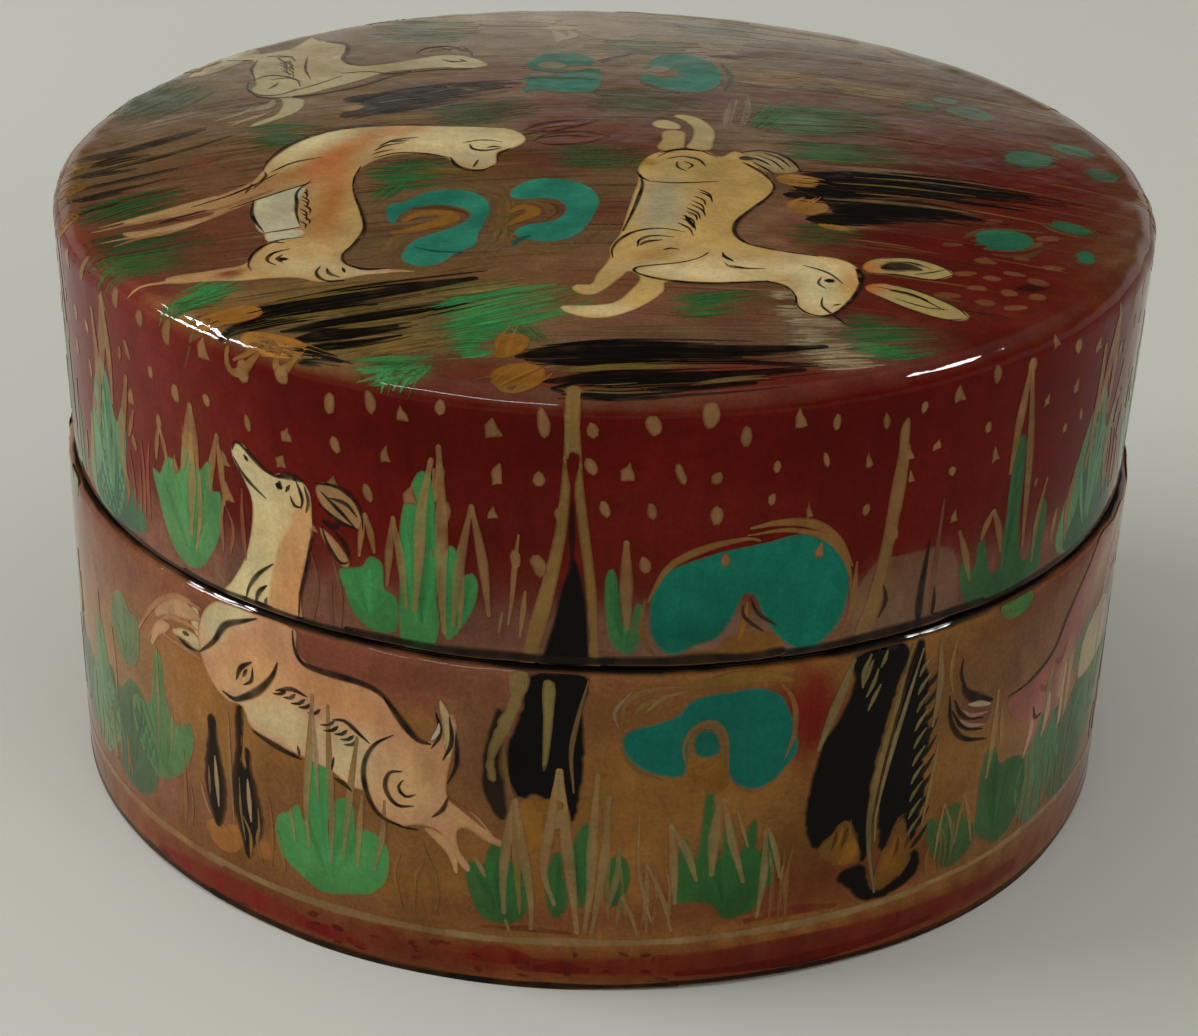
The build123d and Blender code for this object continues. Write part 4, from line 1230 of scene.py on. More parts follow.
def hind_deer():
    """The deer at the back, and the ghost of another beyond it."""
    outline = [(-28.6, 36.6), (-27.6, 36), (-27, 35), (-25.3, 34.2), (-24.8, 33), (-25, 31), (-25, 29),
               (-24.2, 27.6), (-22.6, 27.2), (-20.4, 28), (-18.4, 29.2), (-16.8, 30.2), (-15.4, 31),
               (-13.6, 31.1), (-12, 30.2), (-10.8, 28.8), (-10.5, 28), (-12, 27), (-15, 27), (-18, 26.2),
               (-20.6, 25), (-22.6, 22.8), (-25, 20.6), (-27.6, 18.2), (-29, 17.4), (-27.7, 16.6),
               (-27.8, 13.4), (-29.4, 11), (-32, 8.4), (-31.6, 9.8), (-30, 12), (-29.6, 15), (-30.2, 17),
               (-32, 17.6), (-33, 19), (-32.8, 21.6), (-33.6, 24), (-33.6, 28), (-34.4, 28.9), (-37, 26.4),
               (-39.4, 23.4), (-39, 25.6), (-37, 28.4), (-37.6, 30), (-37, 31.4), (-33.6, 31), (-30.6, 32.6),
               (-29.6, 34.6)]
    hide = dabs(colour("958c6a"), [
        (-28, 28, 3, 7, 0, colour("958460"), 0.8), (-31.6, 26, 1.6, 4, 0, colour("8d876b"), 0.9),
        (-14, 29.4, 4, 2, 0, colour("a0967a"), 0.8), (-20, 27, 4, 2, 30, colour("837350"), 0.7),
    ])
    fill(TOP, "deer", outline, hide, 4, cell=1.0)
    brown = colour("3a2c1e")
    line(TOP,
         [(-28.4, 36.6), (-27, 35.2), (-25.2, 34.4), (-24.8, 32), (-25, 29.4), (-24, 27.8), (-22.6, 27.3)],
         0.75, brown, 6, 0.6, 0.5)
    line(TOP, [(-33.4, 29), (-33.7, 26), (-33, 22.4)], 0.6, brown, 6)
    line(TOP, [(-33, 19), (-32, 17.3), (-29.6, 17.2), (-26, 18.6), (-22.6, 21), (-19.4, 24.4), (-16, 26.2),
               (-12, 26.8)], 0.55, brown, 6)
    lines(TOP, 0.4, brown, [(-29.6, 18.6), (-27, 21.2), (-24.6, 24)],
          [(-31.6, 22.6), (-30, 23.2), (-28.4, 22.2)], [(-36.6, 28.8), (-35, 28.9), (-33.8, 29)],
          [(-31.8, 29.6), (-30.4, 30), (-29.6, 28.6)], layer=6)
    lines(TOP, 0.55, brown, [(-30.6, 21.8), (-31, 20.6), (-31.4, 19.8)],
          [(-15.2, 29.6), (-14, 28.9), (-12.6, 29.2)], [(-30.8, 28.6), (-30, 27.6), (-29.8, 26)],
          [(-13.4, 29.8), (-12.7, 29)], layer=6)
    hatches(TOP, (-30.6, 28.8), (-29.8, 24.6), (0.5, -1), 1.5, 5, 0.3, brown)
    lines(TOP, 0.42, colour("574a38"), [(-17.6, 32.6), (-16.4, 33.6), (-14.8, 33.2)],
          [(-16.6, 32.2), (-15, 33), (-13.4, 34)], [(-14.6, 34), (-13.4, 32.8), (-12.4, 32.4)],
          [(-28.9, 37.4), (-28.2, 36.2), (-27.6, 35)])
    stroke(TOP, "deer", [(-32.6, 32), (-30, 15.6), (-31.8, 13.4)], 0.1, TAUPE, 1)
    for points, width in (
        ([(-30.6, 16.6), (-30.8, 14.8), (-33.2, 12.6)], 1.3),
        ([(-31, 12), (-32.8, 10.4), (-34.4, 9.6)], 0.7),
    ):
        stroke(TOP, "deer", points, width, colour("83745a"), 3)
    for points, width in (
        ([(-36.8, 31.4), (-35.6, 32.2), (-33.4, 31.2)], 2.2),
        ([(-34.8, 28.8), (-36.6, 26.4), (-38.8, 23.6)], 1.0),
        ([(-36, 29.6), (-38.4, 27.4), (-39.6, 25)], 0.7),
        ([(-32.2, 14.4), (-33.6, 12), (-35.6, 10)], 0.5),
        ([(-30.4, 13), (-32.4, 10.8), (-34, 8.6)], 0.5),
        ([(-28.8, 37.6), (-28.4, 36.4), (-27.4, 35.2)], 0.8),
    ):
        stroke(TOP, "deer", points, width, colour("8a7d60"), 4, cover=0.85)
    lines(TOP, 0.4, brown, [(-33.2, 22.6), (-31.6, 24), (-29.2, 23), (-28.4, 20.6)],
          [(-33.6, 22), (-33.4, 19.6), (-31.8, 17.8), (-30, 18.2), (-28.6, 20)],
          [(-31.6, 29.8), (-30.6, 28), (-30.2, 25.6)], [(-32.6, 30), (-31.6, 30.3), (-30, 30.1)],
          [(-28.6, 30), (-28.4, 26), (-27.6, 22.8)],
          [(-17.8, 31.6), (-17, 33.2), (-15.6, 33.6), (-14.4, 32.6)],
          [(-16.4, 33.8), (-14.6, 34), (-13, 32.6)], [(-13.2, 33.8), (-12.4, 32.2), (-12.2, 31)],
          [(-24.8, 24.8), (-22, 25.4), (-20, 24.8), (-18, 25.8)], layer=7)
    hatches(TOP, (-31.4, 29), (-30.6, 25.4), (0.6, -1), 1.6, 6, 0.28, brown)
    ghost = colour("8b8069")
    for points, width, paint in (
        ([(-8.2, 43.6), (-6, 44.4), (-4, 43.2)], 2.4, ghost),
        ([(-8, 45), (-5.6, 45.2), (-3.6, 44.4)], 1.4, ghost),
        ([(-5.6, 41.2), (-3.4, 41.4), (-1, 41.6)], 1.6, ghost),
        ([(-4.4, 40.4), (-3.6, 38.6), (-3.8, 36.4)], 1.4, ghost),
        ([(-2.8, 40.6), (-2.2, 38.8), (-3.2, 37.2)], 1.2, colour("857a64")),
        ([(-1.6, 45), (1, 42), (4.4, 39.6)], 5.4, colour("7a6a52")),
        ([(-2, 42), (0.6, 39.6), (4, 38.2)], 3.0, colour("7d6f58")),
        ([(10.4, 38.4), (11.6, 36.4), (13, 35.4)], 1.6, colour("75695a")),
    ):
        stroke(TOP, "deer", points, width, paint, 3, 0.5, 0.4, cover=0.75, dry=0.4)
    for points, width in (
        ([(11.6, 33.4), (14, 33.4), (17.6, 34.2)], 1.1),
        ([(14, 35.2), (20, 34.6), (27, 33)], 2.0),
        ([(15, 37.6), (22, 37.4), (30, 34)], 2.6),
        ([(-12, 41.8), (-6, 42), (0, 43)], 0.8),
        ([(12, 46), (19, 43.6), (27, 40)], 0.9),
        ([(2, 48.4), (9, 47.6), (16, 45.4)], 0.8),
        ([(16.6, 27.9), (18.6, 27.3), (20.4, 27.6)], 0.9),
        ([(25.4, 24.6), (26.2, 24), (27.2, 24.2)], 0.6),
        ([(14, 24.2), (22, 23.8), (31, 20.8)], 1.0),
        ([(5, 35), (2.6, 32), (0.6, 30)], 1.0),
        ([(30, 37.6), (34.4, 33.6), (39, 28.6)], 1.0),
        ([(33, 26), (39, 23.4), (44, 20)], 0.7),
    ):
        stroke(TOP, "streaks", points, width, colour("39322a"), 4, 0.4, 0.2, cover=0.5, dry=0.5)
    for points, width in (
        ([(13, 41.4), (22, 38.8), (30, 35)], 1.2),
        ([(6, 45.4), (14, 43.4), (22, 40.6)], 1.4),
        ([(34, 24), (40, 22), (45, 19)], 0.9),
    ):
        stroke(TOP, "streaks", points, width, colour("7c7466"), 4, 0.4, 0.2, cover=0.5, dry=0.5)


def brush_top():
    """Streaks over the whole top: brown and olive in the middle, grey at the back, red at the right."""
    def slope(place):
        return 0.08 - 0.012 * place[0]

    warm = (colour("3a2514"), OLIVE, colour("6a5227"), MAROON, colour("6e5a40"), SOOT, colour("4a3a1e"))
    streaks((-6, -4), (22, 22), 420, (4, 16), warm, slope)
    streaks((-34, 0), (8, 12), 90, (4, 14), (SOOT, colour("705a44"), colour("5a3426"), OLIVE), slope)
    streaks((6, 34), (20, 8), 150, (5, 18),
            (colour("5f5748"), colour("77694f"), colour("4a4a3c"), colour("5a3a30")), slope)
    streaks((34, 8), (9, 14), 150, (5, 16),
            (colour("4a1a10"), colour("63402c"), colour("2e1009"), colour("5c4a30")), slope)
    streaks((-18, -36), (8, 4), 60, (6, 14), (SOOT, colour("6a5429"), OLIVE, BLACK), lambda place: 0.42)


def paint_top():
    brush_top()
    greenery()
    rocks()
    foliage()
    hind_deer()
    running_deer()
    running_hare()


paint_top()


# ---- the sides --------------------------------------------------------------------------------------------
def shifted(points, a, about=0.0):
    """A shape moved round the box: about is its middle, from which its places are taken."""
    return [(a + about + (u - about), v) for u, v in points]


def tuft(surface, a, leaves, blades, paint, cover, gold):
    """A tuft of grass: green leaves, streaked up from the foot, and gilt blades drawn over them.

    A leaf is an outline; a blade is a line from its point down, and its width.
    """
    for leaf in leaves:
        outline = shifted(leaf, a)
        middle = np.mean(outline, axis=0)
        low = min(v for _, v in outline)
        high = max(v for _, v in outline)
        shade = [
            (middle[0], low + 1, 3, 1.6, 0, paint * 0.75, 0.6),
            (middle[0] - 1, high, 2, 2.4, 80, paint * 1.08, 0.5),
        ]
        fill(surface, "green", outline, dabs(paint, shade), 2, cell=1.1, cover=cover)
        tips = [np.array(p) for p in outline if p[1] > (low + high) / 2]
        foot = np.array([middle[0], low + 0.8])
        for tip in tips[:: max(len(tips) // 5, 1)]:
            end = middle + (tip - middle) * chance.uniform(0.6, 0.85)
            bend = (foot + end) / 2 + wobble(0.15)
            tone = chance.choice((0.55, 0.7, 1.15, 1.3))
            stroke(surface, "green", [foot + (end - foot) * 0.15, bend, end], chance.uniform(0.4, 0.8),
                   paint * tone, 3, 0.6, 0.2, cover=0.4)
    for points, width in blades:
        stroke(surface, "gold", shifted(points, a), width * chance.uniform(1.0, 1.2), tinted(gold, 0.08), 5,
               0.5, 0.45, cover=0.85, dry=0.35)


def thin_grass(surface, a, low, reach, count, paint, cover=0.6):
    """Loose grass strokes drawn up from the ground."""
    for i in range(count):
        at = a + (i - (count - 1) / 2) * reach / count + chance.gauss(0, reach / count / 3)
        height = chance.uniform(3.5, 8)
        middle = (at + chance.gauss(0, 0.3), low + height * 0.6)
        tip = (at + chance.gauss(0, 0.5), low + height)
        width = 0.5 * chance.uniform(0.7, 1.2)
        stroke(surface, "gold", [(at, low), middle, tip], width, tinted(paint), 5, 0.35, 0.2, cover=cover)


SPARK = colour("7a5c3a")


def sparks(low_a, high_a):
    """Rows of small gilt dots and darts on the red."""
    for z, gap in ((53.6, 3.9), (49.6, 3.9), (45.8, 4.2), (41.8, 8.4)):
        a = low_a + chance.uniform(0, gap)
        while a < high_a:
            place = (a + chance.gauss(0, 0.35), z + chance.gauss(0, 0.55))
            more = (1.2 if z > 50 else 0.95) * (0.78 if a > 14 else 1)
            tall, wide = more * chance.uniform(0.6, 1.15), more * chance.uniform(0.36, 0.6)
            paint = tinted(SPARK, 0.1)
            if chance.random() < 0.4:
                top = chance.uniform(-0.2, 0.4)
                dart = [
                    (place[0] + top, place[1] + tall),
                    (place[0] - wide, place[1] + 0.1),
                    (place[0] - wide * 0.8, place[1] - tall),
                    (place[0] + wide * 1.4, place[1] - tall * 0.8),
                ]
                fill(LID, "gold", [p for p in dart for _ in (0, 1)], paint, 3, ragged=0.05, cover=0.85)
            else:
                blot(LID, "gold", place, (wide, tall), paint, 3, chance.uniform(-10, 25), 0.85)
            a += gap * chance.uniform(0.75, 1.25)


def leaping_deer(a):
    """A deer across the seam: head and neck on the lid, the rest on the base."""
    at = functools.partial(shifted, a=a, about=-25)

    def ink(width, *runs, surface=LID, paint=INK):
        lines(surface, width, paint, *(at(run) for run in runs), layer=6)

    def hide(base, tints):
        return dabs(base, [(*at([(u, v)])[0], *rest) for u, v, *rest in tints])

    neck = [(-34.3, 31.9), (-33.3, 33.4), (-31.7, 36), (-30.9, 38.4), (-30.5, 40.8), (-30.6, 42.3),
            (-31.4, 43.8), (-32.2, 44.9), (-32.6, 46), (-32, 46.9), (-31.2, 46.8), (-30.1, 45.9),
            (-29.1, 45.3), (-28.1, 45), (-27.1, 45.4), (-25.8, 45.5), (-24.8, 44.9), (-24.4, 44.1),
            (-24.3, 42.5), (-24.4, 40.9), (-24.6, 39.7), (-25.2, 37.3), (-25.8, 34.6), (-26, 31.9)]
    cream = colour("b3a278")
    fill(LID, "deer", at(neck), hide(cream, [
        (-25.8, 38, 6, 1.5, 82, colour("a8794c"), 0.9), (-26.8, 33.4, 3, 1.4, 80, colour("a67648"), 0.9),
        (-24.8, 42, 2, 1, 80, PEACH, 0.6), (-30, 43.6, 3, 1.6, -40, colour("b0a480"), 0.8),
        (-31.6, 34.6, 4, 1.4, 60, colour("b0a37c"), 0.8)]), 4, cell=0.9)
    band = [(-26, 41.4), (-25.2, 42.6), (-24.4, 42.4), (-24.6, 39.7), (-25.2, 37.3), (-25.8, 34.6),
            (-26, 31.95), (-29.1, 31.95), (-29, 34), (-28.3, 37), (-27.6, 39.1)]
    fill(LID, "deer", at(band), hide(colour("a97c52"), [(-25, 41, 2, 1, 80, colour("b08a62"), 0.7)]), 5,
         cell=0.8, cover=0.85)
    for ear in (
        [(-23.8, 45.2), (-22, 45.5), (-20.4, 44.8), (-19.6, 43.4), (-19.5, 42.2), (-21.4, 42.4),
         (-23.2, 43.4)],
        [(-23.6, 41.4), (-22.6, 41), (-21.4, 39.9), (-20.8, 38.6), (-21.4, 38.3), (-22.6, 39.4)],
    ):
        fill(LID, "deer", at(ear), colour("8a6a46"), 4)
    ink(0.65,
        [(-32.5, 46), (-32, 46.9), (-31.2, 46.7), (-30.1, 45.9), (-29.1, 45.3), (-28.1, 45), (-27.4, 44.9)])
    ink(0.5, [(-32.4, 45.5), (-31.6, 44.4), (-30.5, 43.5), (-28.9, 42.6)], [(-31.2, 46), (-30.7, 45.5)],
        [(-24, 45.4), (-22, 45.6), (-20.4, 44.9), (-19.6, 43.4), (-19.5, 42.1)],
        [(-23.4, 44.8), (-21.6, 43.4), (-20.2, 42.2)], [(-23.6, 43.6), (-21.8, 42.5), (-19.9, 42.1)],
        [(-22.6, 44.4), (-21, 44.2), (-20, 43.2)], [(-23.4, 41.6), (-22.8, 40), (-21.6, 38.6), (-20.9, 38.9)],
        [(-22.2, 41.4), (-21.2, 40.4), (-20.8, 39.2)], [(-25, 44.9), (-24.6, 43.6), (-24.9, 42.4)],
        [(-25.8, 45.2), (-25.2, 43.6), (-25.4, 42.6)])
    ink(0.95, [(-28, 44.9), (-27.2, 45.2), (-26.2, 45.4), (-25, 45.2)], [(-27.4, 44.7), (-27.6, 43.8)],
        [(-27.9, 44.3), (-27.2, 44)], [(-23.3, 42.2), (-22.4, 41.8), (-21.6, 42.2)])
    ink(0.5, [(-26.4, 43.6), (-26, 42.8), (-25.4, 42.8)], [(-26.9, 43.8), (-26.4, 44.6)])
    ink(0.65, [(-28.4, 36.7), (-30.1, 35.2), (-31.3, 33.5), (-31.7, 32.2)],
        [(-29.2, 34.4), (-30.2, 33.4), (-30.6, 32.2)], [(-29.3, 33.2), (-29.6, 32.3)])
    ink(0.6, [(-24.3, 41), (-25, 37.4), (-25.7, 34.6), (-26, 32)])
    body = [(-37.2, 25.2), (-37.4, 27), (-36.8, 29), (-35.6, 30.6), (-34.4, 31.3), (-26.2, 31.3), (-26, 29.4),
            (-24.6, 28.3), (-21, 27.9), (-18.4, 27.4), (-16.6, 25.8), (-15.2, 24), (-13.8, 23.6),
            (-12.6, 24.4), (-11.4, 26.6), (-11.6, 22.6), (-12, 20.4), (-11.9, 18.4), (-10.6, 17.6),
            (-8.2, 15.4), (-7, 14.4), (-8.6, 14.6), (-10.8, 15.6), (-11, 13.6), (-10, 11.4), (-11.4, 12.6),
            (-12.6, 14.8), (-14.6, 15.2), (-16.8, 14.6), (-18.6, 16), (-19.8, 17.4), (-21, 17.4),
            (-22.6, 18.4), (-25.4, 19), (-28.6, 19.4), (-31.4, 20.2), (-32.2, 21.8), (-34, 21.7), (-36, 23)]
    fill(BASE, "deer", at(body), hide(colour("a3785a"), [
        (-35.2, 29, 2.6, 1.7, 55, colour("a29a78"), 1.0),
        (-33, 30.6, 2.4, 1, 20, colour("a29a78"), 0.9),
        (-29, 22.2, 5, 2.4, -8, colour("aea27c"), 0.95),
        (-21, 20.4, 3, 3, -60, colour("aa9c78"), 0.9),
        (-31, 25.4, 3.6, 3, 0, colour("ac8258"), 0.9),
        (-33.4, 23.4, 2.4, 1.2, 20, colour("b08a60"), 0.7),
        (-22, 26, 6, 1.7, -14, colour("a6764c"), 0.8),
        (-16, 18.8, 3.4, 3.6, 0, colour("a9875e"), 0.9),
        (-13, 21.4, 2, 2, 0, colour("8f6a44"), 0.6),
        (-10, 15.4, 2.6, 1.2, -40, colour("8e7047"), 0.8),
    ]), 4, cell=0.9)
    brown, pale = colour("8a6346"), colour("a1906c")
    for leg, width, paint in (
        ([(-36.8, 29.6), (-39.4, 29.7), (-42, 28.6), (-44.2, 26.8), (-46.8, 23.6)], 0.8, brown),
        ([(-37, 28.6), (-39.4, 28.6), (-42, 27.6), (-43.6, 26.4)], 1.9, colour("947456")),
        ([(-37.4, 29.6), (-37.8, 28.2), (-37.4, 26.8)], 1.4, pale),
        ([(-38.4, 29.2), (-39, 28), (-38.8, 27)], 0.6, brown),
        ([(-36.6, 27.2), (-39, 27.4), (-41.8, 26.8), (-44, 25), (-45, 23.2)], 0.5, brown),
        ([(-36.6, 25.8), (-39.2, 26.2), (-41, 25.8)], 1.5, pale),
        ([(-41.4, 26.2), (-43.4, 25), (-44.6, 23)], 1.3, colour("98785a")),
        ([(-37.2, 24.6), (-40, 24.8), (-42.6, 24.9)], 0.45, brown),
    ):
        stroke(BASE, "deer", at(leg), width, paint, 4, 0.3, 0.45)
    ink(0.85, [(-37.4, 25.2), (-35.4, 27), (-33.8, 29.2), (-31.6, 30.4), (-30, 31.2)], surface=BASE)
    ink(0.85,
        [(-26.4, 31.2), (-26.2, 29.4), (-25.4, 28.3), (-23.4, 28), (-20, 27.9), (-17.8, 27.2), (-16, 25)],
        surface=BASE)
    ink(1.0, [(-17.6, 27), (-16, 25), (-14.6, 23.6), (-13.4, 23.4)], surface=BASE)
    ink(0.7, [(-37.6, 25.2), (-39, 25.2), (-40.4, 25.6)], [(-38.6, 26.4), (-39.6, 26.3)], surface=BASE)
    ink(1.0, [(-28, 27.6), (-28.6, 26.1), (-30.1, 24.2), (-31.8, 22.9), (-33.2, 22.2), (-34.6, 22.5)],
        surface=BASE)
    ink(0.85, [(-30.8, 26.7), (-32.2, 25.6), (-32.8, 24.2)],
        [(-31.2, 19.8), (-28.6, 19.2), (-25.8, 18.7)], [(-22.6, 17.9), (-21.4, 17.5), (-20.8, 17)],
        surface=BASE)
    ink(0.5, [(-30.8, 26.2), (-31, 24.8), (-32, 24)], [(-31.4, 25.8), (-32, 24.8)], [(-26.2, 20), (-26, 19)],
        [(-22.8, 18.6), (-22.5, 20)], surface=BASE)
    ink(0.7,
        [(-16.8, 23.6), (-18.6, 22.2), (-19.6, 20), (-19.4, 17.4), (-18.2, 15.4), (-16, 14.7), (-14.6, 14.7)],
        [(-11.9, 18.6), (-12.4, 17.2), (-13.4, 16.2)],
        [(-15, 17), (-16.6, 16.8), (-17.6, 18.2), (-17.2, 19.8), (-16, 20.2)], surface=BASE)
    ink(0.6, [(-14.8, 18.2), (-15.8, 17.8), (-16.4, 18.6), (-15.9, 19.4)],
        [(-12.4, 22), (-11.6, 24), (-11.8, 26.4)], [(-13.4, 23), (-12.6, 24.6), (-13, 26.6)],
        [(-12, 19.8), (-11.2, 21.8), (-11.2, 25)], surface=BASE)
    for start, end, count in (((-27, 25.2), (-23.8, 24.4), 5), ((-22.6, 23.5), (-19.8, 22.4), 5)):
        first, last = at([start, end])
        hatches(BASE, first, last, (-0.9, -0.5), 1.6, count, 0.55, INK)
    ink(0.75, [(-28.4, 24.7), (-26.6, 25.4), (-25, 25.1)],
        [(-22.6, 23.6), (-21.4, 23.8), (-20, 22.9), (-19, 22.2)], surface=BASE)
    stroke(BASE, "deer", at([(-11.9, 22.4), (-11.8, 25), (-12.6, 27.8)]), 1.3, colour("a08a62"), 5, 0.4, 0.2)
    stroke(BASE, "deer", at([(-13.4, 23.8), (-12.8, 24.8), (-12.7, 25.6)]), 0.5, PALE, 7, 0.4, 0.2)
    for points, width in (
        ([(-12.2, 17.4), (-10, 16.6), (-8.6, 15.4), (-7.8, 14.5)], 1.6),
        ([(-14, 15), (-12.6, 14.2), (-11.6, 12.8), (-11.2, 11)], 1.1),
    ):
        stroke(BASE, "deer", at(points), width, colour("a37c55"), 5, 0.3, 0.3)
    ink(0.7, [(-12, 18.4), (-10.4, 17.4), (-8.6, 15.8)], surface=BASE, paint=colour("6b4028"))
    stroke(BASE, "gold", at([(-24.6, 25), (-24.4, 21), (-24.2, 15)]), 0.5, TAUPE, 7, 0.5, 0.2)


def cypress(a):
    """The tall dark tree in the middle: gilt edges, a black hollow and its roots on the base."""
    at = functools.partial(shifted, a=a)
    fill(LID, "black", at([(-1.8, 42), (-2.2, 40.8), (-2.8, 38.8), (-3.3, 36.1), (-4.1, 33), (-4.4, 31.95),
                           (-0.2, 31.95), (-0.2, 33.1), (-0.3, 35), (-0.6, 38.2), (-1.2, 40.9)]), BLACK, 3)
    stroke(LID, "black", at([(-1.9, 47.4), (-1.9, 44.6), (-1.8, 41)]), 0.6, colour("1c0806"), 3)
    gilt = dabs(GOLD, [(-2 + a, 52, 3, 1, 90, STRAW, 0.6), (-4 + a, 40, 4, 1, 70, colour("7b6036"), 0.6)])
    fill(LID, "gold", at([(-2.7, 57.6), (-2.7, 55), (-2.7, 51.8), (-2.9, 48.2), (-3.3, 44.5), (-4, 40.8),
                          (-5, 36.8), (-5.8, 32.8), (-6, 31.95), (-6, 31.95), (-4.8, 31.95), (-4.8, 31.95),
                          (-4.5, 33), (-4.1, 34.6), (-3.5, 37.1), (-2.8, 40.9), (-2.3, 44.6), (-2.1, 48.2),
                          (-1.95, 51.6), (-1.8, 48.2), (-1.4, 44.6), (-0.9, 41), (-0.5, 37.3), (-0.3, 34.5),
                          (-0.2, 31.95), (-0.2, 31.95), (0.7, 31.95), (0.7, 31.95), (0.6, 33), (0.4, 35.4),
                          (0.2, 39.2), (-0.4, 43.8), (-1.0, 48.3), (-1.3, 51.8), (-1.5, 55), (-1.5, 57.6)]),
         gilt, 4, cell=0.9)
    stroke(LID, "gold", at([(-2.1, 52), (-2.1, 54.6), (-2.1, 57.8)]), 1.4, GOLD, 7, 0.5, 0.8, step=0.4)
    stroke(LID, "gold", at([(-2.4, 51), (-2.4, 54), (-2.4, 57)]), 0.5, STRAW, 9, 0.5, 0.5, cover=0.6)
    fill(BASE, "black", at([(-7.4, 27.8), (-8.4, 25.8), (-9, 22.6), (-8.9, 19.6), (-7.9, 17.4), (-6.9, 16.8),
                            (-6.9, 19.6), (-7.4, 22.4), (-7.2, 25)]), SOOT, 3, ragged=0.04, cover=0.95)
    fill(BASE, "black", at([(-4.9, 31.4), (-5.7, 28), (-6.8, 24.4), (-6.8, 21.2), (-5.6, 19.1), (-4.3, 19.7),
                            (-3.3, 18.7), (-2.4, 20.4), (-1.8, 18.4), (-1.2, 17.2), (-0.6, 20), (-0.3, 24),
                            (-0.6, 28), (-0.5, 31.4)]), BLACK, 4, cell=1.0, ragged=0.06)
    fill(BASE, "gold", at([(-6.6, 31.4), (-6.8, 28.6), (-8, 25.6), (-8.6, 22.8), (-8.1, 20.6), (-7.8, 22.8),
                           (-7, 25), (-5.9, 28), (-5, 31.4)]), colour("6e5c36"), 5, cell=0.8, ragged=0.05,
         cover=0.95)
    stroke(BASE, "gold", at([(-7.2, 25), (-7, 22), (-6.3, 19)]), 0.5, tinted(GOLD), 6, 0.5, 0.3)
    fill(BASE, "gold", at([(-3.9, 30.8), (-3.9, 27), (-3.9, 24), (-3.8, 22), (-3.5, 22.6), (-3.2, 25),
                           (-3, 28), (-3, 30.6)]), colour("6f6238"), 6, cell=0.7)
    stroke(BASE, "gold", at([(-0.2, 31), (-1, 27.4), (-1.5, 24), (-1.2, 20)]), 0.5, colour("6a5030"), 6, 0.5,
           0.4, cover=0.85)
    for offset in (-6.3, 1.4):
        stroke(BASE, "gold",
               at([(offset, 17 + chance.uniform(-3, 4)), (offset + 0.4, 12), (offset + 0.7, 7.4)]), 0.7,
               tinted(GOLD), 5, cover=0.85)
    blot(BASE, "bulbs", (-5 + a, 16.4), (1.3, 2.6), OCHRE, 3, 0, 0.7)
    blot(BASE, "bulbs", (-3.4 + a, 18.6), (1.4, 0.8), colour("6c4d1c"), 5)


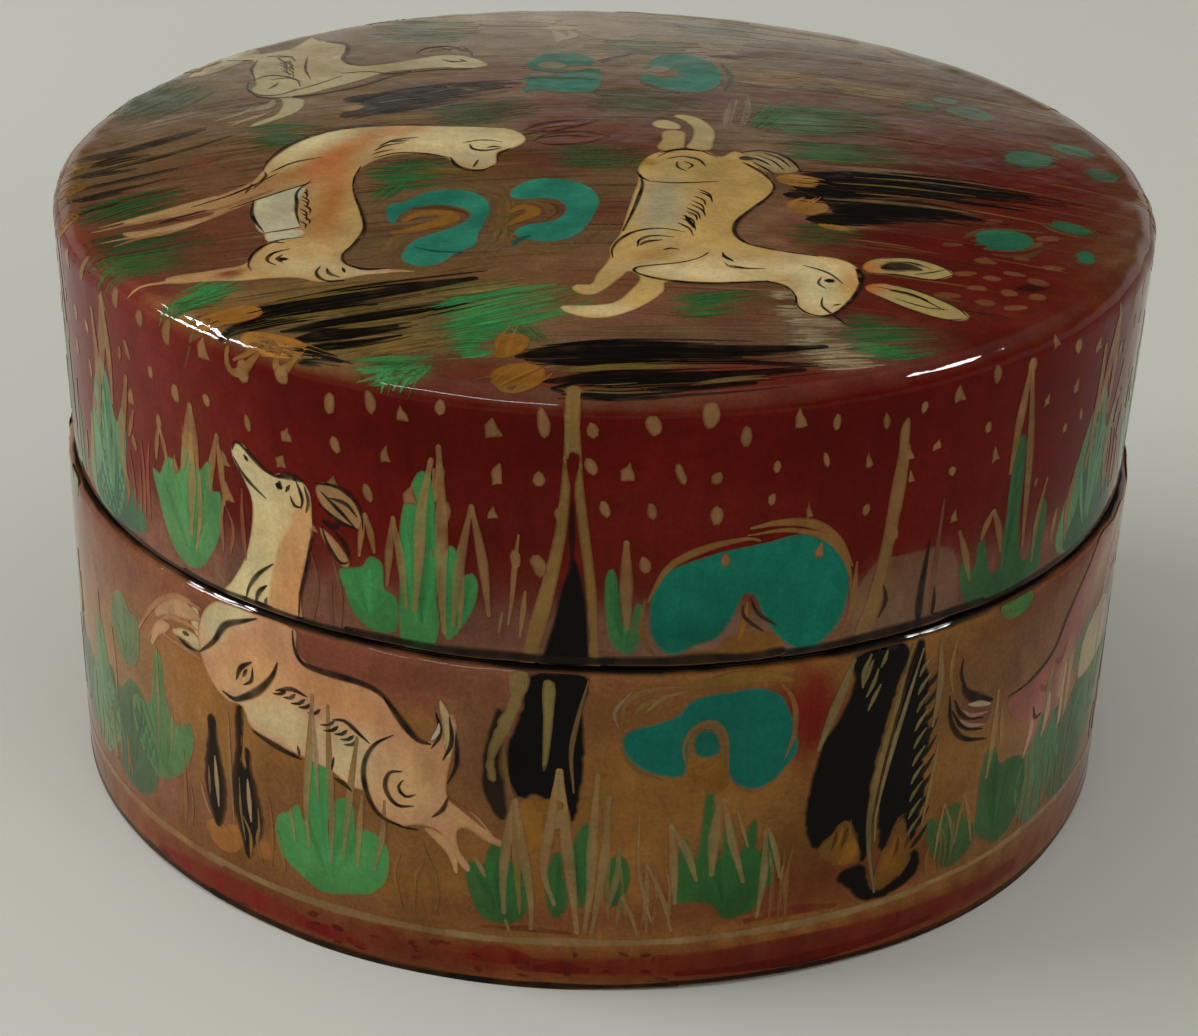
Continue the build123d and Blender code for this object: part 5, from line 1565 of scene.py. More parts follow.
def hill(a):
    """The teal hill over the seam, with the curled teal rock below it."""
    at = functools.partial(shifted, a=a, about=12)
    dome_shape = [(4.6, 36.6), (4.8, 39), (6.2, 41), (8.6, 42), (11, 42.6), (14, 43), (17, 43.4), (19, 42.6),
                  (20.8, 41), (21.8, 38.6), (21.6, 35.6), (20.4, 33.4), (18, 32.4), (15.6, 34), (14.2, 36.2),
                  (12.8, 38.4), (11.8, 36.6), (10.4, 34.4), (8.6, 33.8), (6.6, 33), (5, 34.4)]
    teal = colour("0e5f4f")
    fill(LID, "teal", at(dome_shape), dabs(teal, [(*at([(10, 38)])[0], 5, 3, 0, colour("125e4b"), 0.6),
                                                  (*at([(9, 34.8)])[0], 4, 1.4, 0, DARK_TEAL, 0.6)]), 3)
    for points, width in (
        ([(4.4, 38), (6, 41.2), (8.8, 42.8), (12.4, 43.5), (13.6, 43.2)], 0.8),
        ([(12.6, 44.4), (15, 44.7), (18, 44.2), (20.4, 42.4), (22, 39.6)], 0.95),
        ([(12.4, 43.8), (16, 43.9), (19.4, 42.6), (21.6, 39.6), (22.2, 36)], 0.6),
        ([(22.4, 40), (22.2, 35), (20.6, 32.4)], 0.7), ([(4.2, 38.4), (4, 35), (5.4, 32.6)], 0.6),
    ):
        stroke(LID, "gold", at(points), width, tinted(colour("6f4f28"), 0.06), 4, 0.5, 0.3)
    blot(LID, "bulbs", at([(13.2, 33.4)])[0], (3.2, 1.3), colour("6f4a1f"), 2)
    blot(LID, "bulbs", at([(9.4, 32.6)])[0], (3.2, 0.8), colour("6d4c2a"), 2)
    lines(LID, 0.5, SEPIA, at([(13, 38), (13.8, 36.4), (15.6, 35)]),
          at([(12.4, 37.4), (12.6, 36.2), (14.4, 34.6)]))
    stroke(LID, "gold", at([(12.8, 37.6), (12.6, 35.6), (12.2, 34)]), 0.7, OCHRE, 4)
    bean = [(3, 26), (2.8, 24.4), (4.2, 22.6), (6.6, 21.6), (8, 21.7), (8.3, 23.6), (8.4, 25.2), (9.2, 26.3),
            (10.4, 26.2), (11.3, 25), (11.6, 22.6), (12.2, 20.8), (13.6, 19.9), (15.4, 20), (16.8, 21.4),
            (17.9, 23), (17.7, 25), (17, 27), (16, 28.8), (14, 29.7), (11.6, 29.6), (9.6, 29.4), (8.2, 28.8),
            (7.2, 27.6), (5.4, 26.9)]
    fill(BASE, "teal", at(bean),
         dabs(colour("10594d"), [(*at([(5.4, 25)])[0], 2, 2, 0, colour("0d5347"), 0.6)]), 3)
    blot(BASE, "teal", at([(9.8, 24.6)])[0], (1.25, 1.5), colour("145448"), 4, 20)
    for points, width, paint in (
        (
            [(8.1, 22.8), (7.9, 24.6), (8.6, 26.2), (9.8, 26.8), (11, 26.2), (11.6, 24.4), (11.8, 21.6)],
            0.55,
            colour("6f4f28"),
        ),
        ([(8.8, 22.4), (9.8, 21.8), (10.8, 22.4), (11.4, 23.4)], 1.0, colour("745021")),
        ([(2.6, 27), (3, 29), (5, 30.2), (7.6, 30.4)], 0.6, GOLD),
        ([(3.4, 27.4), (4.4, 28.8), (6.6, 29.4)], 0.6, GOLD),
        ([(4.6, 28), (6, 29.4), (8, 29.9)], 0.5, colour("6e5a36")),
        ([(2.4, 26.4), (2, 28), (3.4, 30)], 0.4, TAUPE),
        ([(7.6, 30.2), (11, 30.7), (14.6, 30.7), (17, 30)], 1.3, colour("6a5022")),
        ([(15.6, 30.4), (17.2, 28), (17.5, 25), (16.8, 22.4)], 0.6, colour("6f4a28")),
        ([(2.6, 24.6), (3.8, 22.6), (6.4, 21.3)], 0.5, colour("6b4a28")),
        ([(12.6, 20.4), (14.2, 19.6), (16.2, 20.6)], 0.5, colour("6b4a28")),
    ):
        stroke(BASE, "gold", at(points), width, tinted(paint, 0.05), 5, 0.5, 0.3)
    fill(BASE, "bulbs", at([(8.4, 21.8), (9.6, 22.8), (11.4, 23.4), (12, 20.6), (10.6, 19.6)]),
         colour("6f4a1c"), 2, cover=0.8)


def dark_plant(a):
    """The big black feathered plant with gilt edges, its stem on the lid."""
    at = functools.partial(shifted, a=a)
    left = [(22.8, 31.3), (22.6, 28.4), (21.6, 25.6), (20.2, 23.4), (19.4, 20), (19, 17), (19.4, 14),
            (20.4, 12.6), (21.8, 13.4), (23.2, 14.8), (24.4, 12.6), (25.3, 10.2), (25.6, 14), (25.4, 18),
            (26.1, 22), (27, 26.6), (27.8, 31.3)]
    right = [(28.8, 31.3), (27.6, 26), (26.8, 21), (26.3, 16), (26.7, 12.4), (27.2, 10.6), (28, 11.6),
             (28.8, 13.6), (29.6, 12), (30.2, 10.4), (31, 13), (31.4, 16), (30.9, 19), (31.4, 21), (30.6, 24),
             (30.7, 27), (30, 29), (29.6, 31.3)]
    for shape in (left, right):
        fill(BASE, "black", at(shape), BLACK, 3, ragged=0.06)
    fill(BASE, "black", at([(22.6, 9.2), (23.4, 9.9), (25.4, 9.8), (26, 8), (26.8, 6.8), (28.6, 7.2),
                            (30, 8.2), (30.8, 9.8), (31.6, 8.6), (31.4, 7.2), (29.6, 6.2), (27, 5.7),
                            (25.2, 6.2), (24, 7.6)]), BLACK, 4, ragged=0.06)
    gilt = colour("6e6340")
    for points, width in (
        ([(22.6, 31.2), (21.8, 28.6), (20.9, 26), (19.8, 22.6)], 1.1),
        ([(24.2, 31.2), (23.6, 29.6), (23.6, 28)], 0.6),
        ([(28.4, 31.2), (27.4, 26), (26.1, 20), (25.5, 15), (25.8, 11), (26.8, 6.5)], 0.75),
        ([(29.6, 30.4), (28.2, 25), (27, 20), (26.2, 15), (26.3, 12)], 0.6),
        ([(31.4, 30.6), (31.9, 26), (31.5, 22)], 0.8),
        ([(32.4, 20), (32, 16), (31.4, 12)], 0.5),
    ):
        stroke(BASE, "gold", at(points), width, tinted(gilt), 6, 0.5, 0.4, cover=0.9, dry=0.3)
    stroke(BASE, "black", at([(28.8, 30), (27.6, 25), (26.5, 19), (25.9, 14)]), 0.35, SEPIA, 7)
    for i in range(10):
        z = 28.8 - i * 1.8
        stroke(BASE, "gold",
               at([(29.4 + 0.05 * i, z - 1.2), (29.8 + 0.05 * i, z - 0.4), (30.6 + 0.06 * i, z + 0.6)]), 0.5,
               tinted(gilt), 6, 0.4, 0.4, cover=0.85)
        stroke(BASE, "black", at([(30.4, z - 2.6), (31.4, z - 1.6), (32.1, z - 0.6)]), 0.7, SOOT, 4, 0.3, 0.2)
    for points in (
        [(23.6, 28.2), (24, 29.4), (24.4, 30.6)],
        [(24, 27), (24.6, 28.2), (25, 29.6)],
        [(24.3, 25.6), (24.8, 26.8), (25.4, 28)],
        [(25.2, 29.6), (25.6, 30.4), (25.8, 31.2)],
    ):
        stroke(BASE, "gold", at(points), 0.5, tinted(gilt), 6, 0.5, 0.4, cover=0.85)
    flame = dabs(colour("5e3f18"), [
        (23.6 + a, 11.6, 1.4, 1, 60, colour("8a5a18"), 0.8),
        (28.6 + a, 9.4, 1.6, 1, 60, colour("7d5218"), 0.7),
    ])
    for shape in (
        [(20.4, 12.6), (22, 14.2), (23, 15), (24.4, 12.6), (24.8, 10.4), (23, 10.3), (21.4, 11.2)],
        [(26.9, 10.4), (28.2, 11.6), (29, 13.6), (29.8, 12.2), (30.4, 10), (30.2, 8.2), (28.6, 7.2),
         (27, 6.9)],
    ):
        fill(BASE, "bulbs", at(shape), flame, 5, ragged=0.08, cover=0.92)
        middle = np.mean(at(shape), axis=0)
        for _ in range(5):
            foot = middle + wobble(0.5)
            stroke(BASE, "bulbs", [foot, foot + (0.3, 0.9), foot + (0.4, 2.0)], chance.uniform(0.3, 0.6),
                   chance.choice((BLACK, colour("7d5218"))), 6, cover=0.6)
    fill(LID, "gold", at([(25.9, 52.4), (25.4, 49), (25.1, 46.6), (24.7, 42), (24.2, 38.4), (23.4, 35),
                          (22.8, 32.6), (24.2, 32.5), (25, 35), (25.5, 38), (26, 42), (26.5, 46.6),
                          (26.4, 50)]),
         dabs(colour("775c36"), [(25.6 + a, 45, 6, 0.5, 84, colour("5c4326"), 0.6)]), 4, cover=0.85)
    stroke(LID, "gold", at([(30.7, 44), (30.5, 38), (30.4, 33)]), 0.6, colour("5f4430"), 3, cover=0.7)
    fill(LID, "bulbs",
         at([(22.4, 36), (24, 39.2), (28, 39.6), (32, 39), (33.4, 36), (33, 32.4), (27, 32.2), (22.6, 32.4)]),
         colour("66503c"), 1, cell=2, cover=0.55)
    feather(LID, at([(29.3, 31.95), (29.2, 35), (29.6, 40.4)]), 1.0, SOOT)
    stroke(LID, "black", at([(25.2, 37.2), (25.6, 35.6), (25, 34)]), 0.6, SEPIA, 5)
    stroke(LID, "black", at([(30.6, 31.95), (30.8, 34), (30.4, 36.6)]), 0.6, SOOT, 3)


def pink_deer(a):
    """The hind part of a rose-coloured deer at the right."""
    at = functools.partial(shifted, a=a)
    rose = colour("7d4c46")
    shape = [(41.4, 21.2), (44.5, 21.5), (48.2, 23), (50.2, 25.5), (53, 28.3), (56.3, 31.1), (61, 31.2),
             (65.4, 31), (66.4, 28), (65.4, 25.8), (61.3, 25), (57.5, 23.5), (53.8, 21.8), (53.2, 18.2),
             (53, 15), (51.6, 14.6), (50.6, 17.4), (49.4, 15.6), (48.2, 14.9), (47.8, 17.2), (46.6, 15.4),
             (45.4, 14.2), (45.1, 17), (43, 18.4), (41.6, 19.8)]
    fill(BASE, "deer", at(shape), dabs(rose, [(60 + a, 28.6, 6, 2.4, 30, colour("957a64"), 0.9),
                                              (52 + a, 18, 2, 3.4, 0, colour("9c8468"), 0.95),
                                              (47 + a, 16.6, 2, 2.4, 0, colour("946a5c"), 0.8)]), 3)
    fill(BASE, "deer", at([(34.4, 22.4), (36, 24), (38.6, 22.6), (38.8, 20.6), (37, 19.6), (35, 20.8)]),
         colour("5f3f2c"), 3)
    lines(BASE, 0.7, INK,
          at([(41.2, 21.6), (44.5, 21.9), (48.3, 23.4), (50.2, 25.8), (53, 28.6), (56.2, 31.2)]),
          at([(33.2, 24.6), (33.7, 21.8), (35.4, 19.6), (38.6, 18.4)]), layer=6)
    lines(BASE, 1.3, INK, at([(34.6, 25.6), (35.1, 24.4), (36.6, 23.2), (38.9, 22.2)]), layer=6)
    lines(BASE, 0.6, INK, at([(33.8, 24), (35, 22), (37.8, 20.8)]),
          at([(33.6, 23), (35.2, 20.8), (38, 19.6)]), at([(34.4, 27.8), (34.3, 26.4), (35, 24.8)]),
          at([(45.7, 18.8), (46.2, 17.4), (47.4, 17.4)]), layer=6)
    fill(BASE, "deer", at([(55.4, 17.2), (55.1, 19), (55.5, 21.2), (57.4, 22.7), (60.4, 23.4), (63, 22.4),
                           (64.2, 19.6), (63.4, 17.8), (60.6, 17), (58, 16.8)]), colour("978a70"), 5,
         cell=0.8)
    for points, width in (
        ([(45.8, 17.4), (45.6, 15.8), (44.8, 13.8)], 0.9),
        ([(48.6, 19), (48.6, 17), (47.9, 14.6)], 1.0),
        ([(51.6, 20.8), (51.8, 17.6), (51.4, 14.2)], 1.4),
    ):
        stroke(BASE, "deer", at(points), width, colour("a08670"), 5, 0.4, 0.3)
    for points, width in (
        ([(46.4, 20.6), (47.6, 19.8), (49.2, 20.4)], 0.8),
        ([(48.8, 22.2), (50.2, 21.6), (51.2, 23.2)], 0.8),
    ):
        stroke(BASE, "deer", at(points), width, colour("6a3230"), 5, 0.4, 0.3, cover=0.8)
    stroke(BASE, "pale", at([(35.6, 22.9), (37, 22.5), (38.6, 21.9)]), 0.7, colour("9c8a6c"), 7, 0.5, 0.3)
    for points in ([(34.9, 22.6), (36.2, 21.6), (38.4, 21.2)], [(34.6, 21.8), (36, 20.7), (38.2, 20)]):
        stroke(BASE, "pale", at(points), 0.5, colour("8a6a58"), 6)
    stroke(BASE, "gold", at([(33.4, 30.6), (33, 27), (33.6, 24.6)]), 0.5, tinted(GOLD), 5)


def leaf_pair(a):
    """Two dark leaves on the base with pale ribs and an ochre foot."""
    at = functools.partial(shifted, a=a)
    for leaf in (
        [(-36.2, 19.6), (-36.9, 17), (-37.5, 14), (-37.5, 11.4), (-36.8, 9), (-36, 8), (-35.1, 9.4),
         (-34.7, 11.6), (-34.9, 14.4), (-35.5, 17)],
        [(-32.7, 21.8), (-33.2, 20.4), (-33.4, 17), (-34, 14), (-33.9, 10.8), (-33.2, 8.4), (-32.4, 6.2),
         (-31.6, 7.4), (-30.6, 9), (-30.3, 11), (-30.8, 13.4), (-31.4, 15.6), (-31.9, 17.8), (-32.3, 15.6),
         (-32.5, 18), (-32.2, 20.6)],
    ):
        fill(BASE, "black", at(leaf), SEPIA * 0.8, 3, cell=0.8, ragged=0.04, cover=0.95)
        middle = np.mean(leaf, axis=0)[0]
        narrow = [(middle + (u - middle) * 0.66, v) for u, v in leaf]
        fill(BASE, "black", at(narrow), SOOT, 4, cell=0.8)
    for spine in ([(-36, 15.4), (-35.9, 12.6), (-35.8, 10.2)], [(-32, 14.6), (-31.9, 12), (-31.8, 10.2)]):
        stroke(BASE, "gold", at(spine), 0.6, colour("8a7458"), 6, 0.5, 0.3)
    for spine in (
        [(-33, 14.4), (-33, 11), (-32.6, 8)],
        [(-30.9, 12), (-30.9, 9.6), (-31.4, 7.8)],
        [(-36.9, 14), (-36.9, 11)],
    ):
        stroke(BASE, "gold", at(spine), 0.3, colour("6b563a"), 6, 0.5, 0.3, cover=0.8)
    for spine in ([(-34, 20.6), (-34.1, 15), (-33.9, 9)], [(-38.2, 12), (-37.6, 10), (-36.8, 8.6)]):
        stroke(BASE, "gold", at(spine), 0.45, tinted(TAUPE), 5, cover=0.7)
    for (u, v), size in (((-35.6, 7.2), (2.2, 1.4)), ((-33.9, 8), (1.2, 1.2)), ((-30.2, 7.8), (1.1, 1.0))):
        blot(BASE, "bulbs", (u + a, v), size, colour("84562b"), 2, 0, 0.85)


def arch(left, point, right, width):
    """The two legs of a gilt arch."""
    left, point, right = (np.array(p, float) for p in (left, point, right))
    return [
        ([tuple(point), tuple((point + foot) / 2 + (foot - point) * (0.12, 0)), tuple(foot)], width)
        for foot in (left, right)
    ]


# painted shade: the greens at the right are darker where the box turns from the window
SHADED_GREEN = colour("2a5c38")                           # greens at the right, where the box turns from the window
# leaves, blades, paint
LID_TUFTS = (
    (
        [[(-54, 32.2), (-57.4, 33.6), (-57.2, 37), (-55.4, 41.6), (-53.6, 45.8), (-52, 47.6), (-50.6, 46),
          (-49.6, 42.6), (-48.6, 44), (-47.8, 44), (-48, 40), (-49, 36), (-50.6, 33)]],
        [
            ([(-50.6, 54), (-51.4, 49), (-52.2, 45)], 1.4),
            ([(-50.5, 54), (-50, 49), (-50, 44)], 1.0),
            ([(-47.6, 50.4), (-47.8, 49)], 0.6),
            ([(-46.8, 48), (-47.6, 45), (-48.8, 41), (-48, 36)], 1.2),
            ([(-46, 45), (-47.2, 42)], 0.7),
        ],
        colour("557f5c"),
    ),
    (
        [[(-39, 32.8), (-40.8, 33.8), (-42, 35.8), (-43, 38.6), (-43.4, 40.6), (-42.4, 40.4), (-41.2, 42.4),
          (-40, 42.5), (-39.4, 41.8), (-38.8, 44), (-37.6, 44.6), (-36.8, 42.8), (-35.6, 44), (-35.1, 43.8),
          (-35, 41.4), (-34.2, 41.6), (-34, 39.6), (-34.6, 37), (-35.6, 35.2), (-37, 33.4)]],
        [
            ([(-37.4, 48.8), (-38, 45.6), (-38.9, 42)], 1.1),
            ([(-37.3, 48.8), (-37, 45), (-36.8, 42.6)], 1.0),
            ([(-37.5, 46), (-37.7, 41), (-38.2, 36)], 1.0),
            *arch((-42.7, 41.6), (-41.9, 45.2), (-41, 41.6), 0.6),
            *arch((-35.4, 41), (-34.2, 47), (-33.7, 40.4), 0.75),
            ([(-36.6, 42.6), (-36.9, 38), (-37.6, 35)], 0.6),
        ],
        colour("4a8350"),
    ),
    (
        [
            [(-21.9, 37.9), (-21.4, 36.3), (-20.6, 34.2), (-19.1, 33), (-16.9, 33.1), (-16.4, 34.4),
             (-16.6, 36.6), (-17.6, 37.1), (-17.8, 39.4), (-18.9, 39.9), (-19.7, 38.8), (-20.8, 38.4)],
            [(-16, 32), (-16.4, 34.4), (-16.3, 37.7), (-16.3, 41.9), (-16, 44.7), (-15.2, 47.1),
             (-14.2, 48.6), (-13.3, 47.5), (-13.1, 44.3), (-12.9, 40.7), (-13, 36.9), (-12.8, 34.6),
             (-13.4, 32.5), (-14.6, 31.95)],
            [(-12.5, 34.5), (-12.8, 37.9), (-12.5, 40.7), (-11.9, 42.2), (-11.3, 41.7), (-10.8, 39.6),
             (-10, 39.9), (-9.5, 38.8), (-9.8, 36.9), (-10.4, 35.4), (-11.4, 33.9), (-12.1, 33.3)],
        ],
        [
            *arch((-19.9, 39.6), (-19.3, 43.8), (-18.5, 40.2), 0.6),
            *arch((-17.4, 37.4), (-16.8, 44), (-15.7, 35.6), 0.75),
            ([(-13.4, 49.9), (-14.3, 45), (-14.6, 40), (-15, 35.4)], 1.0),
            ([(-13.2, 49), (-13.1, 46)], 0.5),
            ([(-12.8, 51.2), (-12.6, 45), (-12.6, 38), (-12.4, 33.8)], 1.0),
            *arch((-11.7, 34.6), (-10.1, 46.2), (-8.6, 36), 0.85),
            ([(-10.8, 40.4), (-11, 37), (-11.1, 34.6)], 0.6),
        ],
        LEAF,
    ),
    (
        [[(2.8, 33.1), (1.6, 34), (1, 36.6), (0.9, 40.4), (1.5, 41.2), (2, 39), (2.4, 36), (3.2, 35.6),
          (3.4, 37.8), (4, 37.8), (4.1, 35.2), (3.6, 33.6)]],
        [([(2.5, 43.8), (2.6, 40), (2.8, 35.4)], 1.05)],
        colour("2f7040"),
    ),
    (
        [[(35.4, 32.6), (34, 33.8), (33.4, 36.8), (34, 37.4), (35, 36), (35.3, 38.4), (36, 38.7),
          (36.8, 36.4), (37.8, 34.8), (38.7, 36), (38.7, 41), (38.5, 46), (39.5, 47.5), (40.2, 45),
          (40.5, 40), (41, 36.4), (42.4, 34.6), (42.9, 38.6), (43.6, 40), (44.6, 39), (44.6, 35),
          (44.4, 32.8)]],
        [
            *arch((38.3, 44), (39.4, 54.4), (41.5, 36), 1.0),
            *arch((35.6, 38.6), (36.8, 41.2), (38.4, 36.6), 0.8),
            ([(32.8, 40.4), (33.8, 38), (34.8, 35)], 0.8),
            ([(44, 42), (43.2, 38), (43.2, 34)], 0.7),
            ([(46.4, 38), (46, 35)], 0.7),
        ],
        SHADED_GREEN,
    ),
    (
        [[(52, 32.4), (48.6, 33.4), (50.4, 36.4), (51.2, 42), (52.4, 46.4), (53.6, 43), (55, 39.6),
          (57.6, 37), (59.6, 34), (57, 32.6)]],
        [([(51.6, 52), (51.8, 46), (51, 40)], 1.2), ([(49, 41), (48.4, 37), (48.8, 34)], 0.8)],
        colour("345c44"),
    ),
)
BASE_TUFTS = (
    (
        [[(-57, 5.8), (-60, 8), (-60.4, 12), (-58.4, 15), (-57.4, 19.4), (-56, 20.8), (-54.8, 18),
          (-53.6, 14.6), (-51.8, 12.4), (-53, 9), (-55, 7)]],
        [([(-56, 23), (-56.6, 18)], 0.8)],
        colour("4e7454"),
    ),
    (
        [[(-50, 18.4), (-51.8, 20), (-52.6, 22.6), (-51.2, 25.4), (-49.6, 25.8), (-48.2, 24.4), (-47, 24.6),
          (-46.8, 22), (-47.8, 19.4)]],
        [],
        colour("5a6e50"),
    ),
    (
        [[(-44.6, 9.2), (-47.6, 10.8), (-49, 13.2), (-48.6, 16), (-47, 16.2), (-45.6, 16.8), (-44.9, 19),
          (-44.3, 22.4), (-43.3, 22.6), (-42.9, 19), (-42.2, 17), (-41, 16.2), (-40, 17), (-39, 17),
          (-39, 14.6), (-40.4, 12), (-42.4, 10.2)]],
        [([(-43.8, 23), (-44, 18), (-44.4, 13)], 0.5), ([(-41.8, 17), (-42.4, 13)], 0.5)],
        colour("487048"),
    ),
    (
        [[(-24, 5.8), (-26, 6.6), (-28.3, 8.2), (-29, 10.2), (-28.6, 12.2), (-27.4, 13), (-26.3, 14),
          (-25.7, 12.6), (-25.4, 15), (-24.9, 20), (-24.2, 20.5), (-23.4, 20.2), (-23.2, 15), (-23, 12),
          (-22.5, 15.6), (-21.4, 16.2), (-20.7, 15.6), (-20.4, 13), (-19.6, 13.6), (-18.4, 13.2), (-17.4, 12),
          (-17.6, 9), (-19, 7.2), (-21.4, 6.4)]],
        [
            ([(-24.5, 25.6), (-25, 20), (-25.5, 14), (-25.3, 10)], 0.7),
            ([(-23, 25), (-23, 19), (-22.9, 13), (-23.1, 9)], 0.7),
            ([(-20.2, 22.6), (-21, 17), (-21.8, 10)], 0.75),
            ([(-19.8, 17), (-20.2, 13), (-20.4, 9.6)], 0.6),
            ([(-17.7, 17), (-18, 13), (-18.8, 9.6)], 0.6),
            ([(-27.2, 13.4), (-26.8, 10)], 0.4),
        ],
        LEAF,
    ),
    (
        [[(-7.4, 6.3), (-9, 6.9), (-9.9, 8.6), (-10.5, 11.4), (-10.2, 12.5), (-8.9, 12.4), (-8.4, 14),
          (-7.4, 14.8), (-6.7, 13.4), (-6, 12.8), (-5.3, 13.4), (-4.9, 11), (-5, 8), (-5.8, 6.7)]],
        [
            ([(-6.2, 19.2), (-6.8, 15), (-7.1, 11), (-7, 7.4)], 0.9),
            ([(-6.1, 19.2), (-5.4, 14), (-4.7, 9), (-4.6, 6)], 0.85),
            ([(-6.2, 18), (-6.1, 14)], 1.0),
            ([(-6.9, 7), (-6.5, 5.6)], 0.4),
            ([(-9.6, 13), (-8.6, 11)], 0.5),
        ],
        colour("205c30"),
    ),
    (
        [
            [(-2.4, 7.4), (-3.3, 8.6), (-3.5, 11), (-2.9, 13.8), (-2.2, 14.2), (-1.8, 11.6), (-1.4, 9)],
            [(-0.2, 8.4), (-1, 10), (-1.5, 13), (-1, 15.8), (0, 17.2), (0.3, 16), (0.3, 12)],
            [(2.4, 8.6), (1.6, 10), (1.9, 13), (2.8, 14), (3.8, 12.6), (3.5, 10)],
        ],
        [
            ([(-2.5, 22.4), (-3.1, 17), (-3.6, 12), (-2.6, 8.6)], 0.9),
            ([(-2.4, 22.4), (-1.8, 16), (-1.2, 11), (-0.6, 5.8)], 0.95),
            ([(-2.5, 21), (-2.6, 16.4)], 1.3),
            ([(0.8, 22), (0.5, 15), (0.4, 10), (0, 6)], 1.0),
            ([(1.8, 20), (1.6, 14), (1.2, 10), (0.6, 5.8)], 0.8),
            ([(2.8, 15), (2.7, 12), (1.9, 8)], 0.6),
            *arch((2.8, 6.6), (3.1, 9.8), (4.6, 5.8), 0.45),
            *arch((5.4, 6), (5.2, 13), (7.6, 6), 0.5),
            ([(4.4, 18), (4.6, 12), (5.8, 7)], 0.4),
        ],
        colour("225c32"),
    ),
    (
        [[(12.2, 6.9), (11, 8.4), (9.4, 8.9), (7.9, 9), (7.6, 11), (7.8, 14), (8.6, 15.4), (9.2, 13.4),
          (9.6, 15), (9.8, 18), (10.1, 20), (10.7, 20), (10.9, 16), (11.1, 13), (11.7, 16), (12.3, 17),
          (12.8, 15), (13.2, 13.4), (13.9, 16), (14.5, 16.8), (14.8, 15.6), (15, 13.4), (15.5, 15),
          (16.2, 15), (16.6, 12), (16.5, 10), (15.6, 9.2), (15.1, 7.8), (13.6, 7)]],
        [
            *arch((7.8, 8.8), (7.1, 17), (9.6, 11), 0.75),
            ([(11.3, 19.4), (10.9, 15), (10.9, 11.4)], 1.0),
            ([(11.5, 19.4), (12.6, 14.6), (13.8, 10.4)], 0.8),
            ([(15.5, 15.8), (15.6, 11), (15.2, 6.6)], 0.75),
            ([(15.7, 15.8), (16.6, 13), (17.1, 10.4)], 0.6),
            ([(12.8, 18), (14, 14)], 0.4),
        ],
        colour("1f5a2e"),
    ),
    (
        [[(35.4, 6.2), (33.4, 7.8), (32, 10.6), (32.2, 12.4), (33.6, 12), (34.6, 13), (36, 12.8), (37, 10.6),
          (38.4, 9.6), (38, 7.4)]],
        [*arch((33.4, 7.8), (34, 13.4), (35.6, 8.6), 0.45), *arch((35.8, 8.6), (36.4, 13.6), (38, 8), 0.45)],
        colour("2c5430"),
    ),
    (
        [[(42.2, 6.2), (40.4, 7), (38.6, 8.6), (38.3, 12), (38.4, 15), (39, 17.2), (40.2, 17), (41, 15),
          (43, 14.8), (45, 13.8), (45.6, 11), (44.8, 8)]],
        [([(39.6, 23), (39.6, 18), (39.2, 14)], 0.8), ([(40.4, 21), (40.8, 17)], 0.5)],
        colour("2a5a36"),
    ),
    (
        [[(55, 5.4), (51.4, 6.4), (49.2, 9), (49, 13), (50.6, 16.4), (53, 15.4), (55.6, 17.4), (58.4, 16),
          (60, 12), (59.4, 8), (57.4, 6)]],
        [([(52, 21), (52.2, 14)], 0.8)],
        colour("38583e"),
    ),
)


def lid_side(a):
    """What stands round the lid, a frieze as wide as the part of the box that faces the viewer."""
    for leaves, blades, paint in LID_TUFTS:
        tuft(LID, a, leaves, blades, paint * 0.82, 0.9, colour("7b5f3a"))
    for points, width in (
        ([(-32.6, 55.4), (-32.2, 53.4), (-30.8, 53.7), (-29.8, 55), (-28.8, 56.8)], 0.95),
        ([(-31.8, 54.4), (-30.4, 55.4), (-29.4, 57)], 0.6),
        ([(-27.8, 56.6), (-27.2, 54.6), (-26.2, 55.4), (-25.8, 57)], 0.9),
        ([(-29, 56), (-27.4, 56.6), (-25.4, 56.2)], 0.7),
    ):
        stroke(LID, "gold", shifted(points, a), width, tinted(colour("74582c"), 0.06), 6, 0.5, 0.5,
               cover=0.85, dry=0.3)
    thin_grass(LID, -46 + a, 35, 5, 5, colour("7a4a34"))
    thin_grass(LID, -33 + a, 36, 3, 3, colour("7a4a34"))
    thin_grass(LID, -22.6 + a, 32.4, 4, 3, colour("6d4a34"), 0.5)
    for points, width in (
        ([(-6.2, 43.9), (-6.5, 41), (-6.7, 38), (-7, 35.4)], 0.55),
        ([(-5.6, 38.8), (-6, 34.4)], 0.55),
        ([(-7.5, 36.6), (-7.8, 34.6)], 0.4),
    ):
        stroke(LID, "gold", shifted(points, a), width, SPARK, 5, 0.4, 0.4, cover=0.85)
    blot(LID, "gold", (-6.5 + a, 41.6), (0.45, 0.9), SPARK, 5, 10, 0.85)
    blot(LID, "gold", (-4.4 + a, 41), (0.55, 0.95), SPARK, 5, 10, 0.85)


def base_side(a):
    """What stands round the base."""
    for leaves, blades, paint in BASE_TUFTS:
        tuft(BASE, a, leaves, blades, paint * 0.85, 0.88, colour("7a6442"))
    blot(BASE, "green", (41 + a, 30.8), (2.3, 1.3), GREEN, 3, 0, 0.85)
    for place, reach, count in ((-30, 5, 4), (-14, 5, 4), (5, 4, 4), (17.6, 3, 3), (34, 4, 4), (48, 6, 5),
                                (-52, 6, 5), (-40, 3, 2)):
        thin_grass(BASE, place + a, 6.4, reach, count, GOLD, 0.5)


